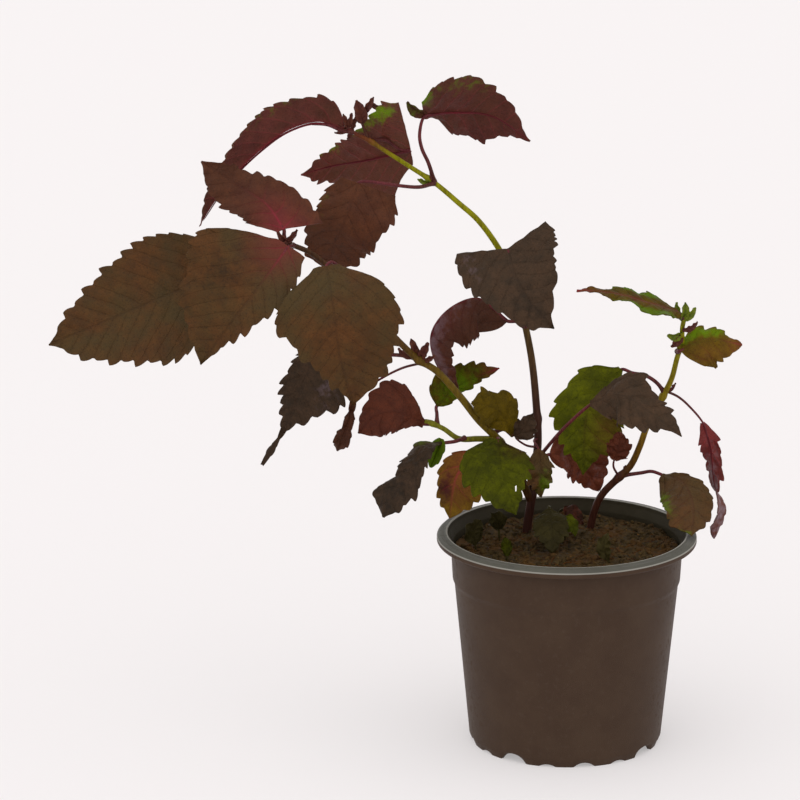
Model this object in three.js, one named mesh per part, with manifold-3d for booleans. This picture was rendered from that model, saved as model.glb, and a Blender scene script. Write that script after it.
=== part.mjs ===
// A purple perilla plant, also called purple shiso, growing in a thin nursery pot.
// Millimetres, +Z up. The origin is the middle of the pot's foot, on the surface the pot stands on.
// +X is to the viewer's right, and -Y is towards the viewer.

import * as THREE from 'three';
import { mergeVertices } from 'three/addons/utils/BufferGeometryUtils.js';
import Module from 'manifold-3d';

const wasm = await Module();
wasm.setup();

// Pot
const potHeight = 100;
const lipRadius = 60;
const lipHeight = 4.5;
const mouthRadius = 54.7;
const footRadius = 44.6;
const footInset = 1.2;        // the foot's corner turns in by this much
const footCorner = 3;         // height of that corner
const lipCorner = 1.2;        // the lip's edges are cut back by this much
const collarHeight = 22;      // straight band under the lip
const collarRadius = 53.6;    // outside, just under the lip
const collarTaper = 1;        // the collar narrows by this much towards its foot
const shoulderStep = 0.9;     // the wall steps in under the collar
const shoulderDrop = 2.2;     // height of that step
const wall = 1.1;
const floorHeight = 4.6;      // underside of the raised ring of the floor, which the drain holes are in
const padRadius = 17;         // the middle of the floor is set down to the foot's level
const padSlope = 3;
const drainRadius = 4;
const drainCircle = 30;
const drainCount = 6;
const drainFacets = 10;
const roundFacets = 40;
const shoulder = collarRadius - collarTaper;
const neck = shoulder - shoulderStep;
const collarFoot = potHeight - collarHeight;

// The foot is cut into 16 shallow scallops, which repeat four times round the pot.
const scallopCount = 16;
const scallopStart = -35;     // degrees from the viewer's side to the first large one, + to the right
const scallops = [            // half width along the foot and height, for each of the four in turn
  { half: 7, high: 3.9 },
  { half: 4, high: 1.1 },
  { half: 5, high: 2 },
  { half: 4, high: 1.1 },
];
const scallopFacets = 5;       // along each scallop's arc

// Soil
const soilTop = 93;
const soilBump = 0.9;
const soilWaves = [6.1, 7.3, 3.7];
const soilRings = 4;
const soilFacets = 32;
const gap = 0.3;              // left between pieces that touch

// Leaves
const bladeThickness = 0.8;
const toothStart = 0.1;       // the base of a blade has no teeth
const toothPeak = 0.72;       // a tooth's point leans towards the tip
const toothLean = 0.9;
const toothShare = 0.3;       // depth of a tooth as a share of its length along the rib
const toothLeast = 0.35;
const toothMost = 2.4;
const toothedHalf = 5;        // a narrower stretch has smaller teeth
const tipHalf = 0.45;
const baseHalf = 1.1;
const petioleSink = 0.1;      // share of the rib that the petiole runs into the blade
const petioleSides = 5;
const petioleRadii = { large: [0.95, 0.75], small: [0.65, 0.55] };
const largeHalf = 6;          // a leaf with a wider half than this has a large petiole

// Stems
const stemSides = 7;
const stemFoot = 70;          // the stems stand in the soil down to this height
const colors = {
  potBrown: 0x45342b,
  peat: 0x33241a,
  stemDark: 0x4a3322,
  stemOlive: 0x6b5a20,
  purple: 0x4f2a28,
  brown: 0x553626,
  grey: 0x4a3a30,
  red: 0x64292a,
  green: 0x45591a,
  olive: 0x54521c,
};

// Each stem is a route of points from its foot upwards, with a radius at each end.
const stems = {
  main_stem: {
    color: 'stemDark', radii: [2.3, 0.9], steps: 26,
    route: [
      [-18, 22, 92], [-16, 22, 108], [-14, 22, 125], [-13, 22, 138], [-14, 23, 156], [-16, 24, 175],
      [-19, 24, 191], [-22, 25, 203], [-26, 25, 216], [-31, 26, 227], [-41, 27, 241], [-50, 28, 249],
      [-61, 30, 258], [-74, 33, 266], [-85, 34, 273], [-91, 34, 277], [-97, 34, 280], [-102, 33, 284],
    ],
    branches: [
      {
        radii: [2, 1.1], steps: 18,
        route: [
          [-16, 22, 108], [-24, 14, 128], [-32, 8, 142], [-41, 6, 152], [-49, 4, 163], [-60, 2, 176],
          [-69, 2, 182], [-77, -3, 191], [-91, -8, 208], [-104, -13, 224], [-117, -19, 237],
          [-125, -24, 242], [-129, -28, 245],
        ],
      },
      {
        radii: [1.5, 1.1], steps: 6,
        route: [[-32, 8, 142], [-41, 5, 143], [-50, 2, 144], [-57, 1, 149], [-63, 0, 152], [-66, 0, 153]],
      },
      { radii: [0.7, 0.6], steps: 3, route: [[-91, 34, 277], [-94, 35, 284], [-95, 35, 290]] },
    ],
    buds: [
      { from: [-101, 33, 283], to: [-103, 32, 290], half: 1.3 },
      { from: [-101, 33, 283], to: [-99, 34, 290], half: 1.2 },
      { from: [-99, 34, 282], to: [-97, 36, 288], half: 1.2 },
      { from: [-100, 33, 283], to: [-107, 32, 281], half: 1.2 },
      { from: [-99, 34, 282], to: [-101, 36, 277], half: 1.1 },
      { from: [-101, 33, 283], to: [-107, 30, 287], half: 1.2 },
      { from: [-94, 35, 285], to: [-97, 34, 296], half: 3.2 },
      { from: [-95, 35, 289], to: [-89, 36, 297], half: 1.8 },
      { from: [-91, 36, 294], to: [-83, 37, 292], half: 1.6 },
      { from: [-62, 30, 258], to: [-69, 29, 260], half: 1.6 },
      { from: [-61, 30, 258], to: [-63, 29, 264], half: 1.2 },
      { from: [-68, 2, 182], to: [-64, 1, 190], half: 2.2 },
      { from: [-69, 2, 182], to: [-72, 4, 191], half: 2 },
      { from: [-70, 2, 183], to: [-78, 5, 186], half: 2.2 },
      { from: [-67, 2, 181], to: [-61, 0, 184], half: 1.5 },
      { from: [-127, -28, 245], to: [-134, -30, 243], half: 1.8 },
      { from: [-128, -28, 245], to: [-132, -31, 250], half: 1.6 },
      { from: [-128, -28, 244], to: [-123, -27, 250], half: 1.4 },
    ],
  },
  right_stem: {
    color: 'stemOlive', radii: [1.9, 1.1], steps: 18,
    route: [
      [12, 30, 92], [15, 28, 105], [18, 26, 111], [24, 24, 118], [30, 22, 125], [34, 19, 135],
      [37, 17, 145], [40, 14, 153], [45, 12, 163], [48, 9, 171], [50, 6, 181], [52, 3, 190],
      [52, 1, 197], [53, -1, 203],
    ],
    branches: [],
    buds: [
      { from: [52, -1, 201], to: [53, -3, 210], half: 2.2 },
      { from: [52, -1, 201], to: [58, -1, 207], half: 2 },
      { from: [52, -1, 201], to: [49, 1, 209], half: 1.8 },
      { from: [52, 0, 196], to: [59, 0, 200], half: 1.8 },
      { from: [52, 2, 194], to: [45, -2, 194], half: 2.6 },
      { from: [52, 2, 193], to: [47, 0, 188], half: 2 },
      { from: [45, 12, 163], to: [50, 11, 168], half: 1.1 },
      { from: [25, 24, 119], to: [28, 23, 125], half: 1 },
    ],
  },
};

// Each leaf: the petiole's route from the middle of its stem, the rib's points from base to tip, the way
// its upper face looks from base to tip, and the angle at which each half folds up from that face. Its
// outline is given by the largest half widths left and right of the rib, where along the rib it is widest
// and how full it is, or by a list of half widths for each side, in equal steps from base to tip.
const leaves = {
  leaf_main_flag: {
    color: 'grey', teeth: 8, fold: [0, 4], sweep: [-0.4, -0.2],
    widths: [[20, 22, 22, 22, 20, 19, 17, 5, 0.3], [23, 24, 23, 20, 17, 13, 10, 6, 0.3]],
    petiole: [[-19, 24, 191], [-20, 13, 202], [-23, 6, 216], [-28, 3, 233]],
    rib: [[-28, 2, 234], [-25, -8, 225], [-18, -14, 213], [-7, -16, 201]],
    face: [[-0.15, -0.9, 0.5], [0, -1, 0.1]],
  },
  leaf_main_arched: {
    color: 'purple', teeth: 8, half: [20, 15], widest: 0.34, fold: [-58, -60],
    petiole: [[-19, 24, 191], [-23, 23, 194], [-27, 23, 195]],
    rib: [
      [-27, 23, 195], [-41, 21, 206], [-55, 19, 201],
      [-63, 18, 189], [-60, 14, 175], [-50, 12, 165],
    ],
    face: [[-0.4, -0.2, 1], [-0.7, 0, 0.7], [-1, 0, 0], [-0.9, 0, -0.5], [-0.6, 0, -0.8]],
  },
  leaf_main_upper_right: {
    color: 'purple', teeth: 7, fold: [-4, -8], sweep: [0, -0.45], bend: [0, 25],
    widths: [[2, 4, 10, 14, 15, 14, 8, 3, 0.3], [11, 16, 20, 21, 20, 15, 11, 6, 0.3]],
    petiole: [[-61, 30, 258], [-64, 28, 268], [-67, 27, 275], [-68, 26, 282], [-66, 26, 291]],
    rib: [[-66, 26, 291], [-53, 32, 291], [-35, 38, 288], [-17, 34, 277]],
    face: [[0, 0.8, 0.6], [0.1, 0.9, 0.4]],
  },
  leaf_main_upper_front: {
    color: 'purple', teeth: 7, fold: [-6, -10],
    widths: [[18, 20, 20, 18, 17, 16, 14, 10, 0.3], [8, 12, 13, 14, 14, 14, 12, 9, 0.3]],
    petiole: [
      [-61, 30, 258], [-68, 22, 258], [-77, 16, 260],
      [-86, 13, 262], [-92, 12, 263], [-96, 13, 262],
    ],
    rib: [[-96, 13, 262], [-102, 10, 245], [-107, 14, 233], [-110, 19, 219]],
    face: [[0, -1, 0.3], [0, -1, 0]],
  },
  leaf_main_top_back: {
    color: 'purple', teeth: 8, fold: [-4, -4], sweep: [-0.3, 0.3],
    widths: [[30, 31, 25, 20, 16, 12, 8, 5, 0.3], [8, 14, 25, 25, 20, 14, 8, 4, 0.3]],
    petiole: [[-91, 34, 277], [-84, 40, 276], [-77, 43, 271], [-72, 42, 271]],
    rib: [[-72, 42, 271], [-93, 51, 264], [-108, 57, 260], [-123, 56, 256]],
    face: [[0, 0.9, 0.4]],
  },
  leaf_main_top_left: {
    color: 'purple', teeth: 9, half: [15, 13], widest: 0.36, full: 1, fold: [62, 58],
    petiole: [[-98, 34, 281], [-103, 32, 283]],
    rib: [
      [-103, 32, 283], [-114, 25, 288], [-127, 18, 286],
      [-140, 12, 278], [-151, 8, 268], [-161, 3, 256], [-168, -4, 246],
    ],
    face: [[-0.2, 0, 1], [-0.6, 0, 0.8], [-0.8, 0, 0.6]],
  },
  leaf_left_far: {
    color: 'brown', teeth: 8, fold: [6, 6],
    widths: [[10, 14, 23, 29, 28, 23, 17, 10, 0.3], [12, 19, 25, 27, 24, 20, 15, 8, 0.3]],
    petiole: [[-125, -24, 242], [-133, -20, 236], [-145, -19, 232], [-150, -20, 231]],
    rib: [[-150, -20, 231], [-176, -22, 221], [-206, -22, 208], [-236, -22, 195]],
    face: [[0, -0.85, 0.5]],
  },
  leaf_left_front: {
    color: 'brown', teeth: 8, fold: [6, 8],
    widths: [[9, 11, 12, 12, 10, 7, 4, 2, 0.3], [6, 23, 34, 35, 31, 26, 20, 11, 0.3]],
    petiole: [[-125, -24, 242], [-126, -30, 243], [-127, -34, 244]],
    rib: [[-127, -34, 244], [-140, -48, 229], [-153, -54, 213], [-166, -52, 194]],
    face: [[0, -1, 0.4]],
  },
  leaf_left_top: {
    color: 'purple', teeth: 8, fold: [8, 8], sweep: [0, -0.5],
    widths: [[2, 6, 9, 11, 11, 10, 8, 5, 0.3], [16, 16, 14, 12, 10, 8, 6, 4, 0.3]],
    petiole: [[-129, -28, 245], [-129, -29, 248], [-129, -30, 251]],
    rib: [[-129, -30, 251], [-137, -24, 261], [-150, -20, 269], [-166, -20, 280]],
    face: [[0, -0.8, 0.6]],
  },
  leaf_left_hanging: {
    color: 'brown', teeth: 8, fold: [4, 4],
    widths: [[6, 17, 25, 29, 27, 24, 20, 12, 0.3], [6, 16, 23, 26, 20, 13, 8, 3, 0.3]],
    petiole: [[-100, -13, 220], [-101, -28, 229], [-108, -39, 238], [-110, -42, 237]],
    rib: [[-110, -42, 237], [-107, -54, 224], [-104, -58, 201], [-98, -52, 175]],
    face: [[0, -0.95, 0.3]],
  },
  leaf_left_dark: {
    color: 'grey', teeth: 7, fold: [0, 0],
    widths: [[4, 11, 18, 19, 11, 3, 0.8, 1.4, 0.8], [3, 6, 8, 8, 6, 3, 0.8, 1.4, 0.8]],
    petiole: [[-69, 2, 182], [-76, 4, 183], [-91, 8, 183], [-104, 10, 187], [-114, 10, 187]],
    rib: [[-114, 10, 187], [-121, 15, 168], [-128, 17, 149], [-141, 20, 126]],
    face: [[0, -1, 0.2]],
  },
  leaf_left_narrow: {
    color: 'purple', teeth: 5, fold: [20, 20],
    widths: [[1, 1.2, 1.6, 2, 2.4, 3, 3.4, 2.6, 0.3], [1, 1.2, 1.6, 2, 2.4, 3, 3.4, 2.6, 0.3]],
    petiole: [[-67, 2, 180], [-76, 4, 177], [-88, 6, 170], [-98, 7, 162]],
    rib: [[-98, 7, 162], [-101, 8, 149], [-106, 12, 135]],
    face: [[0, -1, 0]],
  },
  leaf_side_red: {
    color: 'red', teeth: 7, fold: [5, 5],
    widths: [[2, 3, 6, 8, 10, 10, 10, 8, 0.3], [2, 4, 8, 13, 14, 10, 6, 3, 0.3]],
    petiole: [[-63, 0, 152], [-66, -1, 152]],
    rib: [[-66, -1, 152], [-78, -9, 160], [-89, -13, 159], [-96, -14, 151]],
    face: [[0, -0.8, 0.5]],
  },
  leaf_side_yellow: {
    color: 'olive', teeth: 5, half: [9, 4], widest: 0.3, fold: [5, 5],
    petiole: [[-60, 1, 151], [-60, 4, 155], [-60, 8, 158]],
    rib: [[-60, 8, 158], [-50, 18, 165], [-31, 26, 171]],
    face: [[0, -0.8, 0.5]],
  },
  leaf_crown_drooping: {
    color: 'grey', teeth: 7, fold: [-10, -10],
    widths: [[1, 3, 5, 5, 7, 8, 7, 5, 0.5], [2, 5, 6, 6, 6, 6, 9, 10, 1]],
    petiole: [[-47, 3, 144], [-52, -3, 144], [-58, -6, 145]],
    rib: [[-58, -6, 145], [-66, -16, 145], [-74, -26, 135], [-85, -30, 116]],
    face: [[-0.4, -0.5, 0.8], [-0.5, -0.8, 0.2]],
  },
  leaf_crown_back: {
    color: 'olive', teeth: 7, half: [16, 8], widest: 0.36, fold: [0, 0],
    petiole: [[-28, 11, 135], [-35, 18, 135], [-43, 24, 131]],
    rib: [[-43, 24, 131], [-51, 22, 119], [-54, 14, 102]],
    face: [[0, -0.9, 0.4]],
  },
  leaf_crown_green: {
    color: 'green', teeth: 7, fold: [5, 5],
    widths: [[2, 7, 11, 13, 12, 9, 6, 3, 0.3], [6, 12, 15, 18, 16, 13, 10, 5, 0.3]],
    petiole: [[-32, 8, 142], [-32, 2, 144], [-32, -2, 145]],
    rib: [[-32, -2, 145], [-31, -16, 136], [-24, -26, 116]],
    face: [[0, -0.9, 0.5]],
  },
  leaf_crown_olive: {
    color: 'olive', teeth: 6, fold: [5, 5],
    widths: [[1, 2, 6, 8, 9, 9, 9, 7, 0.3], [1, 3, 6, 8, 9, 7, 7, 5, 0.3]],
    petiole: [[-34, 8, 145], [-29, 10, 146], [-25, 6, 144]],
    rib: [[-25, 6, 144], [-32, 4, 157], [-44, 0, 162]],
    face: [[0, -0.8, 0.6]],
  },
  leaf_crown_small: {
    color: 'grey', teeth: 4, half: [4, 5], widest: 0.4, fold: [5, 5],
    petiole: [[-13, 22, 134], [-19, 12, 138], [-24, 4, 144]],
    rib: [[-24, 4, 144], [-20, 2, 149], [-16, 2, 156]],
    face: [[0, -1, 0.3]],
  },
  leaf_crown_brown: {
    color: 'brown', teeth: 5, half: [5, 6], widest: 0.4, fold: [5, 5],
    petiole: [[-13, 22, 138], [-15, 15, 139], [-13, 9, 137]],
    rib: [[-13, 9, 137], [-12, 6, 127], [-12, 8, 114]],
    face: [[0.2, -1, 0.2]],
  },
  leaf_right_grey: {
    color: 'grey', teeth: 8, fold: [-10, -20],
    widths: [[0.6, 4, 9, 13, 10, 8, 7, 4, 0.3], [1, 8, 11, 12, 12, 9, 5, 1.5, 0.3]],
    petiole: [[-14, 22, 127], [-10, 14, 135], [-1, 4, 149], [10, -6, 163]],
    rib: [[10, -6, 163], [24, -17, 170], [38, -25, 163], [51, -26, 153]],
    face: [[0, -0.8, 0.6]],
  },
  leaf_right_red: {
    color: 'red', teeth: 7, half: [14, 8], widest: 0.42, fold: [0, 0],
    petiole: [[-14, 22, 125], [-10, 23, 129], [-7, 24, 130]],
    rib: [[-7, 24, 130], [5, 30, 126], [16, 35, 109]],
    face: [[0, -0.9, 0.4]],
  },
  leaf_right_green: {
    color: 'green', teeth: 8, fold: [4, 4],
    widths: [[1, 9, 15, 16, 16, 15, 10, 5, 0.3], [2, 9, 12, 13, 15, 11, 8, 4, 0.3]],
    petiole: [[45, 12, 163], [41, 12, 168], [36, 13, 171], [30, 14, 172], [25, 16, 173]],
    rib: [[25, 16, 173], [11, 17, 157], [8, 21, 121]],
    face: [[0, -0.9, 0.4]],
  },
  leaf_right_small: {
    color: 'red', teeth: 4, half: [5, 5], widest: 0.4, full: 0.6, fold: [5, 5],
    petiole: [[25, 24, 119], [22, 17, 126], [22, 11, 131]],
    rib: [[22, 11, 131], [24, 9, 138], [24, 9, 145]],
    face: [[0, -1, 0.2]],
  },
  leaf_right_cupped: {
    color: 'brown', teeth: 6, fold: [-5, -5],
    widths: [[1, 2, 4, 8, 9, 9, 7, 4, 0.3], [4, 11, 13, 13, 13, 13, 11, 9, 0.3]],
    petiole: [[26, 23, 120], [35, 24, 121], [40, 23, 122], [45, 22, 121]],
    rib: [[45, 22, 121], [54, 12, 120], [58, 0, 113], [57, -14, 102]],
    face: [[0, -0.8, 0.6]],
  },
  leaf_right_twisted: {
    color: 'red', teeth: 7, half: [5, 5], widest: 0.45, full: 0.5, fold: [0, 0],
    petiole: [[45, 12, 164], [51, 13, 161], [57, 16, 155], [63, 18, 147]],
    rib: [[63, 18, 147], [67, 19, 135], [69, 22, 119], [72, 25, 104], [70, 30, 87]],
    face: [[-0.3, 0.9, 0.2], [1, 0.3, 0], [0.3, -1, 0]],
  },
  leaf_right_top_left: {
    color: 'olive', teeth: 8, half: [13, 13], widest: 0.36, fold: [0, 0],
    petiole: [[52, -1, 202], [50, -4, 206]],
    rib: [[50, -4, 206], [36, -11, 212], [22, -15, 217], [3, -22, 221]],
    face: [[0, -0.35, 1], [0, -0.1, 1]],
  },
  leaf_right_top_right: {
    color: 'olive', teeth: 6, half: [6, 13], widest: 0.36, fold: [0, -20],
    petiole: [[50, 4, 185], [51, -1, 187]],
    rib: [[51, -1, 187], [63, 4, 191], [80, 8, 187]],
    face: [[0, -0.6, 0.8]],
  },
};

// Small leaves low in the pot, each on its own stalk out of the soil.
const seedlings = {
  leaf_low_dark: {
    color: 'grey', teeth: 5, half: [7, 8], widest: 0.4, fold: [5, 5],
    petiole: [[-10, 8, 84], [-9, 8, 103], [-8, 7, 110], [-8, 6, 109]],
    rib: [[-8, 6, 109], [-7, -6, 103], [-7, -16, 95]],
    face: [[0, -0.8, 0.6]],
  },
  leaf_low_bright: {
    color: 'green', teeth: 4, half: [3, 4], widest: 0.4, fold: [5, 5],
    petiole: [[0, 12, 84], [-1, 9, 102], [-1, 4, 106]],
    rib: [[-1, 4, 106], [2, 0, 104], [4, -4, 99]],
    face: [[0.3, -0.9, 0.5]],
  },
  leaf_low_red: {
    color: 'red', teeth: 4, half: [3, 4], widest: 0.4, fold: [5, 5],
    petiole: [[-3, 19, 84], [-3, 17, 104], [-1, 14, 107]],
    rib: [[-1, 14, 107], [3, 12, 106], [8, 10, 100]],
    face: [[0, -0.8, 0.6]],
  },
  leaf_low_wall: {
    color: 'grey', teeth: 4, half: [4.5, 4.5], widest: 0.45, fold: [5, 5],
    petiole: [[-41, -5, 84], [-42, -5, 95]],
    rib: [[-42, -5, 95], [-43, -5, 101], [-40, -4, 107]],
    face: [[0.4, -0.9, 0]],
  },
  leaf_low_dull: {
    color: 'grey', teeth: 4, half: [4, 4], widest: 0.45, fold: [5, 5],
    petiole: [[-31, 10, 84], [-31, 10, 98]],
    rib: [[-31, 10, 98], [-32, 8, 103], [-35, 6, 107]],
    face: [[0, -0.9, 0.4]],
  },
  leaf_low_green: {
    color: 'green', teeth: 3, half: [2.4, 2.4], widest: 0.45, fold: [5, 5],
    petiole: [[-28, -22, 84], [-28, -22, 95]],
    rib: [[-28, -22, 95], [-28, -20, 98], [-29, -18, 103]],
    face: [[0, -0.9, 0.4]],
  },
  leaf_low_olive: {
    color: 'olive', teeth: 4, half: [3, 3], widest: 0.4, fold: [8, 8],
    petiole: [[18, -25, 84], [18, -25, 94]],
    rib: [[18, -25, 94], [16, -24, 100], [18, -22, 106]],
    face: [[-0.2, -0.9, 0.3]],
  },
};

const radians = THREE.MathUtils.degToRad;
const vectors = (points) => points.map((point) => new THREE.Vector3(...point));
const routeCurve = (points) => new THREE.CatmullRomCurve3(vectors(points), false, 'centripetal');

// Joins and cuts work on solids whose shared vertices are merged.
function toSolid(geometry) {
  const bare = geometry.clone();
  bare.deleteAttribute('normal');
  bare.deleteAttribute('uv');
  const merged = mergeVertices(bare, 1e-4);
  return new wasm.Manifold(new wasm.Mesh({
    numProp: 3,
    vertProperties: new Float32Array(merged.attributes.position.array),
    triVerts: new Uint32Array(merged.index.array),
  }));
}

function toGeometry(solid) {
  const mesh = solid.getMesh();
  const geometry = new THREE.BufferGeometry();
  geometry.setAttribute('position', new THREE.BufferAttribute(mesh.vertProperties, 3));
  geometry.setIndex(new THREE.BufferAttribute(mesh.triVerts, 1));
  geometry.computeVertexNormals();
  return geometry;
}

// A cut can leave loose scraps, so only the largest piece stays.
function largestPiece(solid) {
  const pieces = solid.decompose();
  return pieces.reduce((best, piece) => (piece.volume() > best.volume() ? piece : best));
}

// A round rod along a route. It is extruded very thin, then each ring is opened out to its radius.
function rod(points, radii, steps, sides, extra = 0) {
  const thin = 0.05;
  const section = new THREE.Shape();
  for (let k = 0; k < sides; k++) {
    const angle = (2 * Math.PI * k) / sides;
    if (k === 0) section.moveTo(thin, 0);
    else section.lineTo(thin * Math.cos(angle), thin * Math.sin(angle));
  }
  const curve = routeCurve(points);
  const bare = new THREE.ExtrudeGeometry(section, { steps, extrudePath: curve });
  bare.deleteAttribute('normal');
  bare.deleteAttribute('uv');
  const geometry = mergeVertices(bare, 1e-4);
  const centres = curve.getSpacedPoints(steps);
  const position = geometry.attributes.position;
  const point = new THREE.Vector3();
  for (let i = 0; i < position.count; i++) {
    point.fromBufferAttribute(position, i);
    let ring = 0;
    centres.forEach((centre, k) => {
      if (centre.distanceToSquared(point) < centres[ring].distanceToSquared(point)) ring = k;
    });
    const radius = THREE.MathUtils.lerp(radii[0], radii[1], ring / steps) + extra;
    point.sub(centres[ring]).multiplyScalar(radius / thin).add(centres[ring]);
    position.setXYZ(i, point.x, point.y, point.z);
  }
  return geometry;
}

// A bud leaf: a slim eight-sided spindle from its root to its point.
function budGeometry({ from, to, half }, extra = 0) {
  const [root, tip] = vectors([from, to]);
  const along = tip.clone().sub(root);
  const geometry = new THREE.OctahedronGeometry(1);
  geometry.scale(half + 2 * extra, 0.45 * half + 0.3 + 2 * extra, along.length() / 2 + 2 * extra);
  const turn = new THREE.Quaternion().setFromUnitVectors(new THREE.Vector3(0, 0, 1), along.normalize());
  geometry.applyQuaternion(turn);
  const middle = root.clone().lerp(tip, 0.5);
  geometry.translate(middle.x, middle.y, middle.z);
  return geometry;
}

function makePot() {
  const top = potHeight;
  const lipFoot = top - lipHeight;
  const ringTop = floorHeight + wall;
  const profile = [
    [footRadius - footInset, 0], [footRadius, footCorner], [neck, collarFoot - shoulderDrop],
    [shoulder, collarFoot], [collarRadius, lipFoot], [lipRadius - lipCorner / 2, lipFoot],
    [lipRadius, lipFoot + lipCorner], [lipRadius, top - lipCorner], [lipRadius - lipCorner, top],
    [mouthRadius + lipCorner / 2, top], [mouthRadius, top - lipCorner], [collarRadius - wall, lipFoot - 1],
    [shoulder - wall, collarFoot], [neck - wall, collarFoot - shoulderDrop], [footRadius - wall, ringTop],
    [padRadius + padSlope, ringTop], [padRadius, wall], [0, wall],
    [0, 0], [padRadius, 0], [padRadius + padSlope, floorHeight],
    [footRadius - 1.5 * wall, floorHeight], [footRadius - footInset - 1.4 * wall, 0],
  ].map(([r, z]) => new THREE.Vector2(r, z));
  profile.push(profile[0].clone());
  let pot = toSolid(new THREE.LatheGeometry(profile, roundFacets).rotateX(Math.PI / 2));
  for (let k = 0; k < scallopCount; k++) {
    const { half, high } = scallops[k % scallops.length];
    const radius = (half * half + high * high) / (2 * high);
    const angle = radians(scallopStart + (360 / scallopCount) * k);
    const facets = Math.round((Math.PI * scallopFacets) / Math.asin(half / radius));
    const cutter = new THREE.CylinderGeometry(radius, radius, 16, facets);
    cutter.translate(0, -footRadius, high - radius);
    cutter.rotateZ(angle);
    pot = pot.subtract(toSolid(cutter));
  }
  for (let k = 0; k < drainCount; k++) {
    const hole = new THREE.CylinderGeometry(drainRadius, drainRadius, 4 * wall, drainFacets);
    hole.rotateX(Math.PI / 2);
    hole.translate(drainCircle, 0, floorHeight + wall / 2);
    hole.rotateZ((2 * Math.PI * k) / drainCount);
    pot = pot.subtract(toSolid(hole));
  }
  return pot;
}

function makeSoil(holes) {
  const clear = wall + 1.5 * gap;              // a faceted wall stands in by a little more than its gap
  const edge = shoulder - clear + 0.6;
  const bottom = wall + gap;
  const profile = [
    [0, bottom], [padRadius - gap, bottom], [padRadius + padSlope - gap, floorHeight + bottom],
    [footRadius - clear - gap, floorHeight + bottom], [neck - clear, collarFoot - shoulderDrop],
    [shoulder - clear, collarFoot], [edge, soilTop - 1],
  ];
  for (let k = soilRings - 1; k >= 0; k--) profile.push([(edge * k) / soilRings, soilTop]);
  const points = profile.map(([r, z]) => new THREE.Vector2(r, z));
  const geometry = new THREE.LatheGeometry(points, soilFacets).rotateX(Math.PI / 2);
  const position = geometry.attributes.position;
  for (let i = 0; i < position.count; i++) {
    if (position.getZ(i) < soilTop - 0.5) continue;
    const [x, y] = [position.getX(i), position.getY(i)];
    const bump = Math.sin(x / soilWaves[0] + 1) * Math.cos(y / soilWaves[1])
      + 0.6 * Math.sin((x + y) / soilWaves[2]);
    position.setZ(i, soilTop + soilBump * bump);
  }
  return holes.reduce((soil, hole) => soil.subtract(hole), toSolid(geometry));
}

// The routes of a stem: it starts down in the soil, and its branches start inside it.
function stemRoutes(stem) {
  const [x, y] = stem.route[0];
  const trunk = { ...stem, route: [[x, y, stemFoot], ...stem.route] };
  return [trunk, ...stem.branches];
}

function makeStem(stem) {
  const rods = stemRoutes(stem).map((part) => toSolid(rod(part.route, part.radii, part.steps, stemSides)));
  const buds = stem.buds.map((bud) => toSolid(budGeometry(bud)));
  return [...rods, ...buds].reduce((whole, piece) => whole.add(piece));
}

const largestHalf = (leaf, side) => leaf.half?.[side] ?? Math.max(...leaf.widths[side]);

// The half width of a blade on one side of its rib.
function halfAt(leaf, side, along) {
  if (leaf.widths) {
    const points = leaf.widths[side].map((width, k) => new THREE.Vector2(k, width));
    return new THREE.SplineCurve(points).getPoint(along).y;
  }
  const power = Math.log(0.5) / Math.log(leaf.widest);
  return leaf.half[side] * Math.sin(Math.PI * along ** power) ** (leaf.full ?? 0.8);
}

// A point of a blade: along is 0 at the base and 1 at the tip, across is -1 at the left margin and 1 at
// the right one, and tooth is how far the margin's teeth stand out there.
function bladePoint(leaf, rib, along, across, tooth) {
  const centre = rib.getPointAt(along);
  const tangent = rib.getTangentAt(along);
  const place = along * (leaf.face.length - 1);
  const first = Math.min(Math.floor(place), Math.max(leaf.face.length - 2, 0));
  const last = Math.min(first + 1, leaf.face.length - 1);
  const [from, to] = vectors([leaf.face[first], leaf.face[last]]);
  const face = from.lerp(to, place - first);
  face.addScaledVector(tangent, -face.dot(tangent)).normalize();
  const right = tangent.clone().cross(face);
  const side = across < 0 ? 0 : 1;
  const half = halfAt(leaf, side, along);
  const least = THREE.MathUtils.lerp(baseHalf, tipHalf, along);
  const margin = tooth * Math.min(1, half / toothedHalf);
  const reach = Math.abs(across) * Math.max(half, least) + margin;
  const fold = radians(leaf.fold[side]);
  const curl = radians((leaf.bend ?? [0, 0])[side] + 0.01) / largestHalf(leaf, side);
  const angle = fold + curl * reach;
  const out = (Math.sin(angle) - Math.sin(fold)) / curl;
  const rise = (Math.cos(fold) - Math.cos(angle)) / curl;
  const lean = (leaf.sweep ?? [0, 0])[side] * reach + toothLean * margin;
  const way = right.multiplyScalar(across < 0 ? -1 : 1);
  const point = centre.addScaledVector(way, out).addScaledVector(face, rise).addScaledVector(tangent, lean);
  const normal = face.clone().multiplyScalar(Math.cos(angle)).addScaledVector(way, -Math.sin(angle));
  if (across === 0) normal.copy(face).divideScalar(Math.cos(fold));
  return { point, normal };
}

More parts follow.
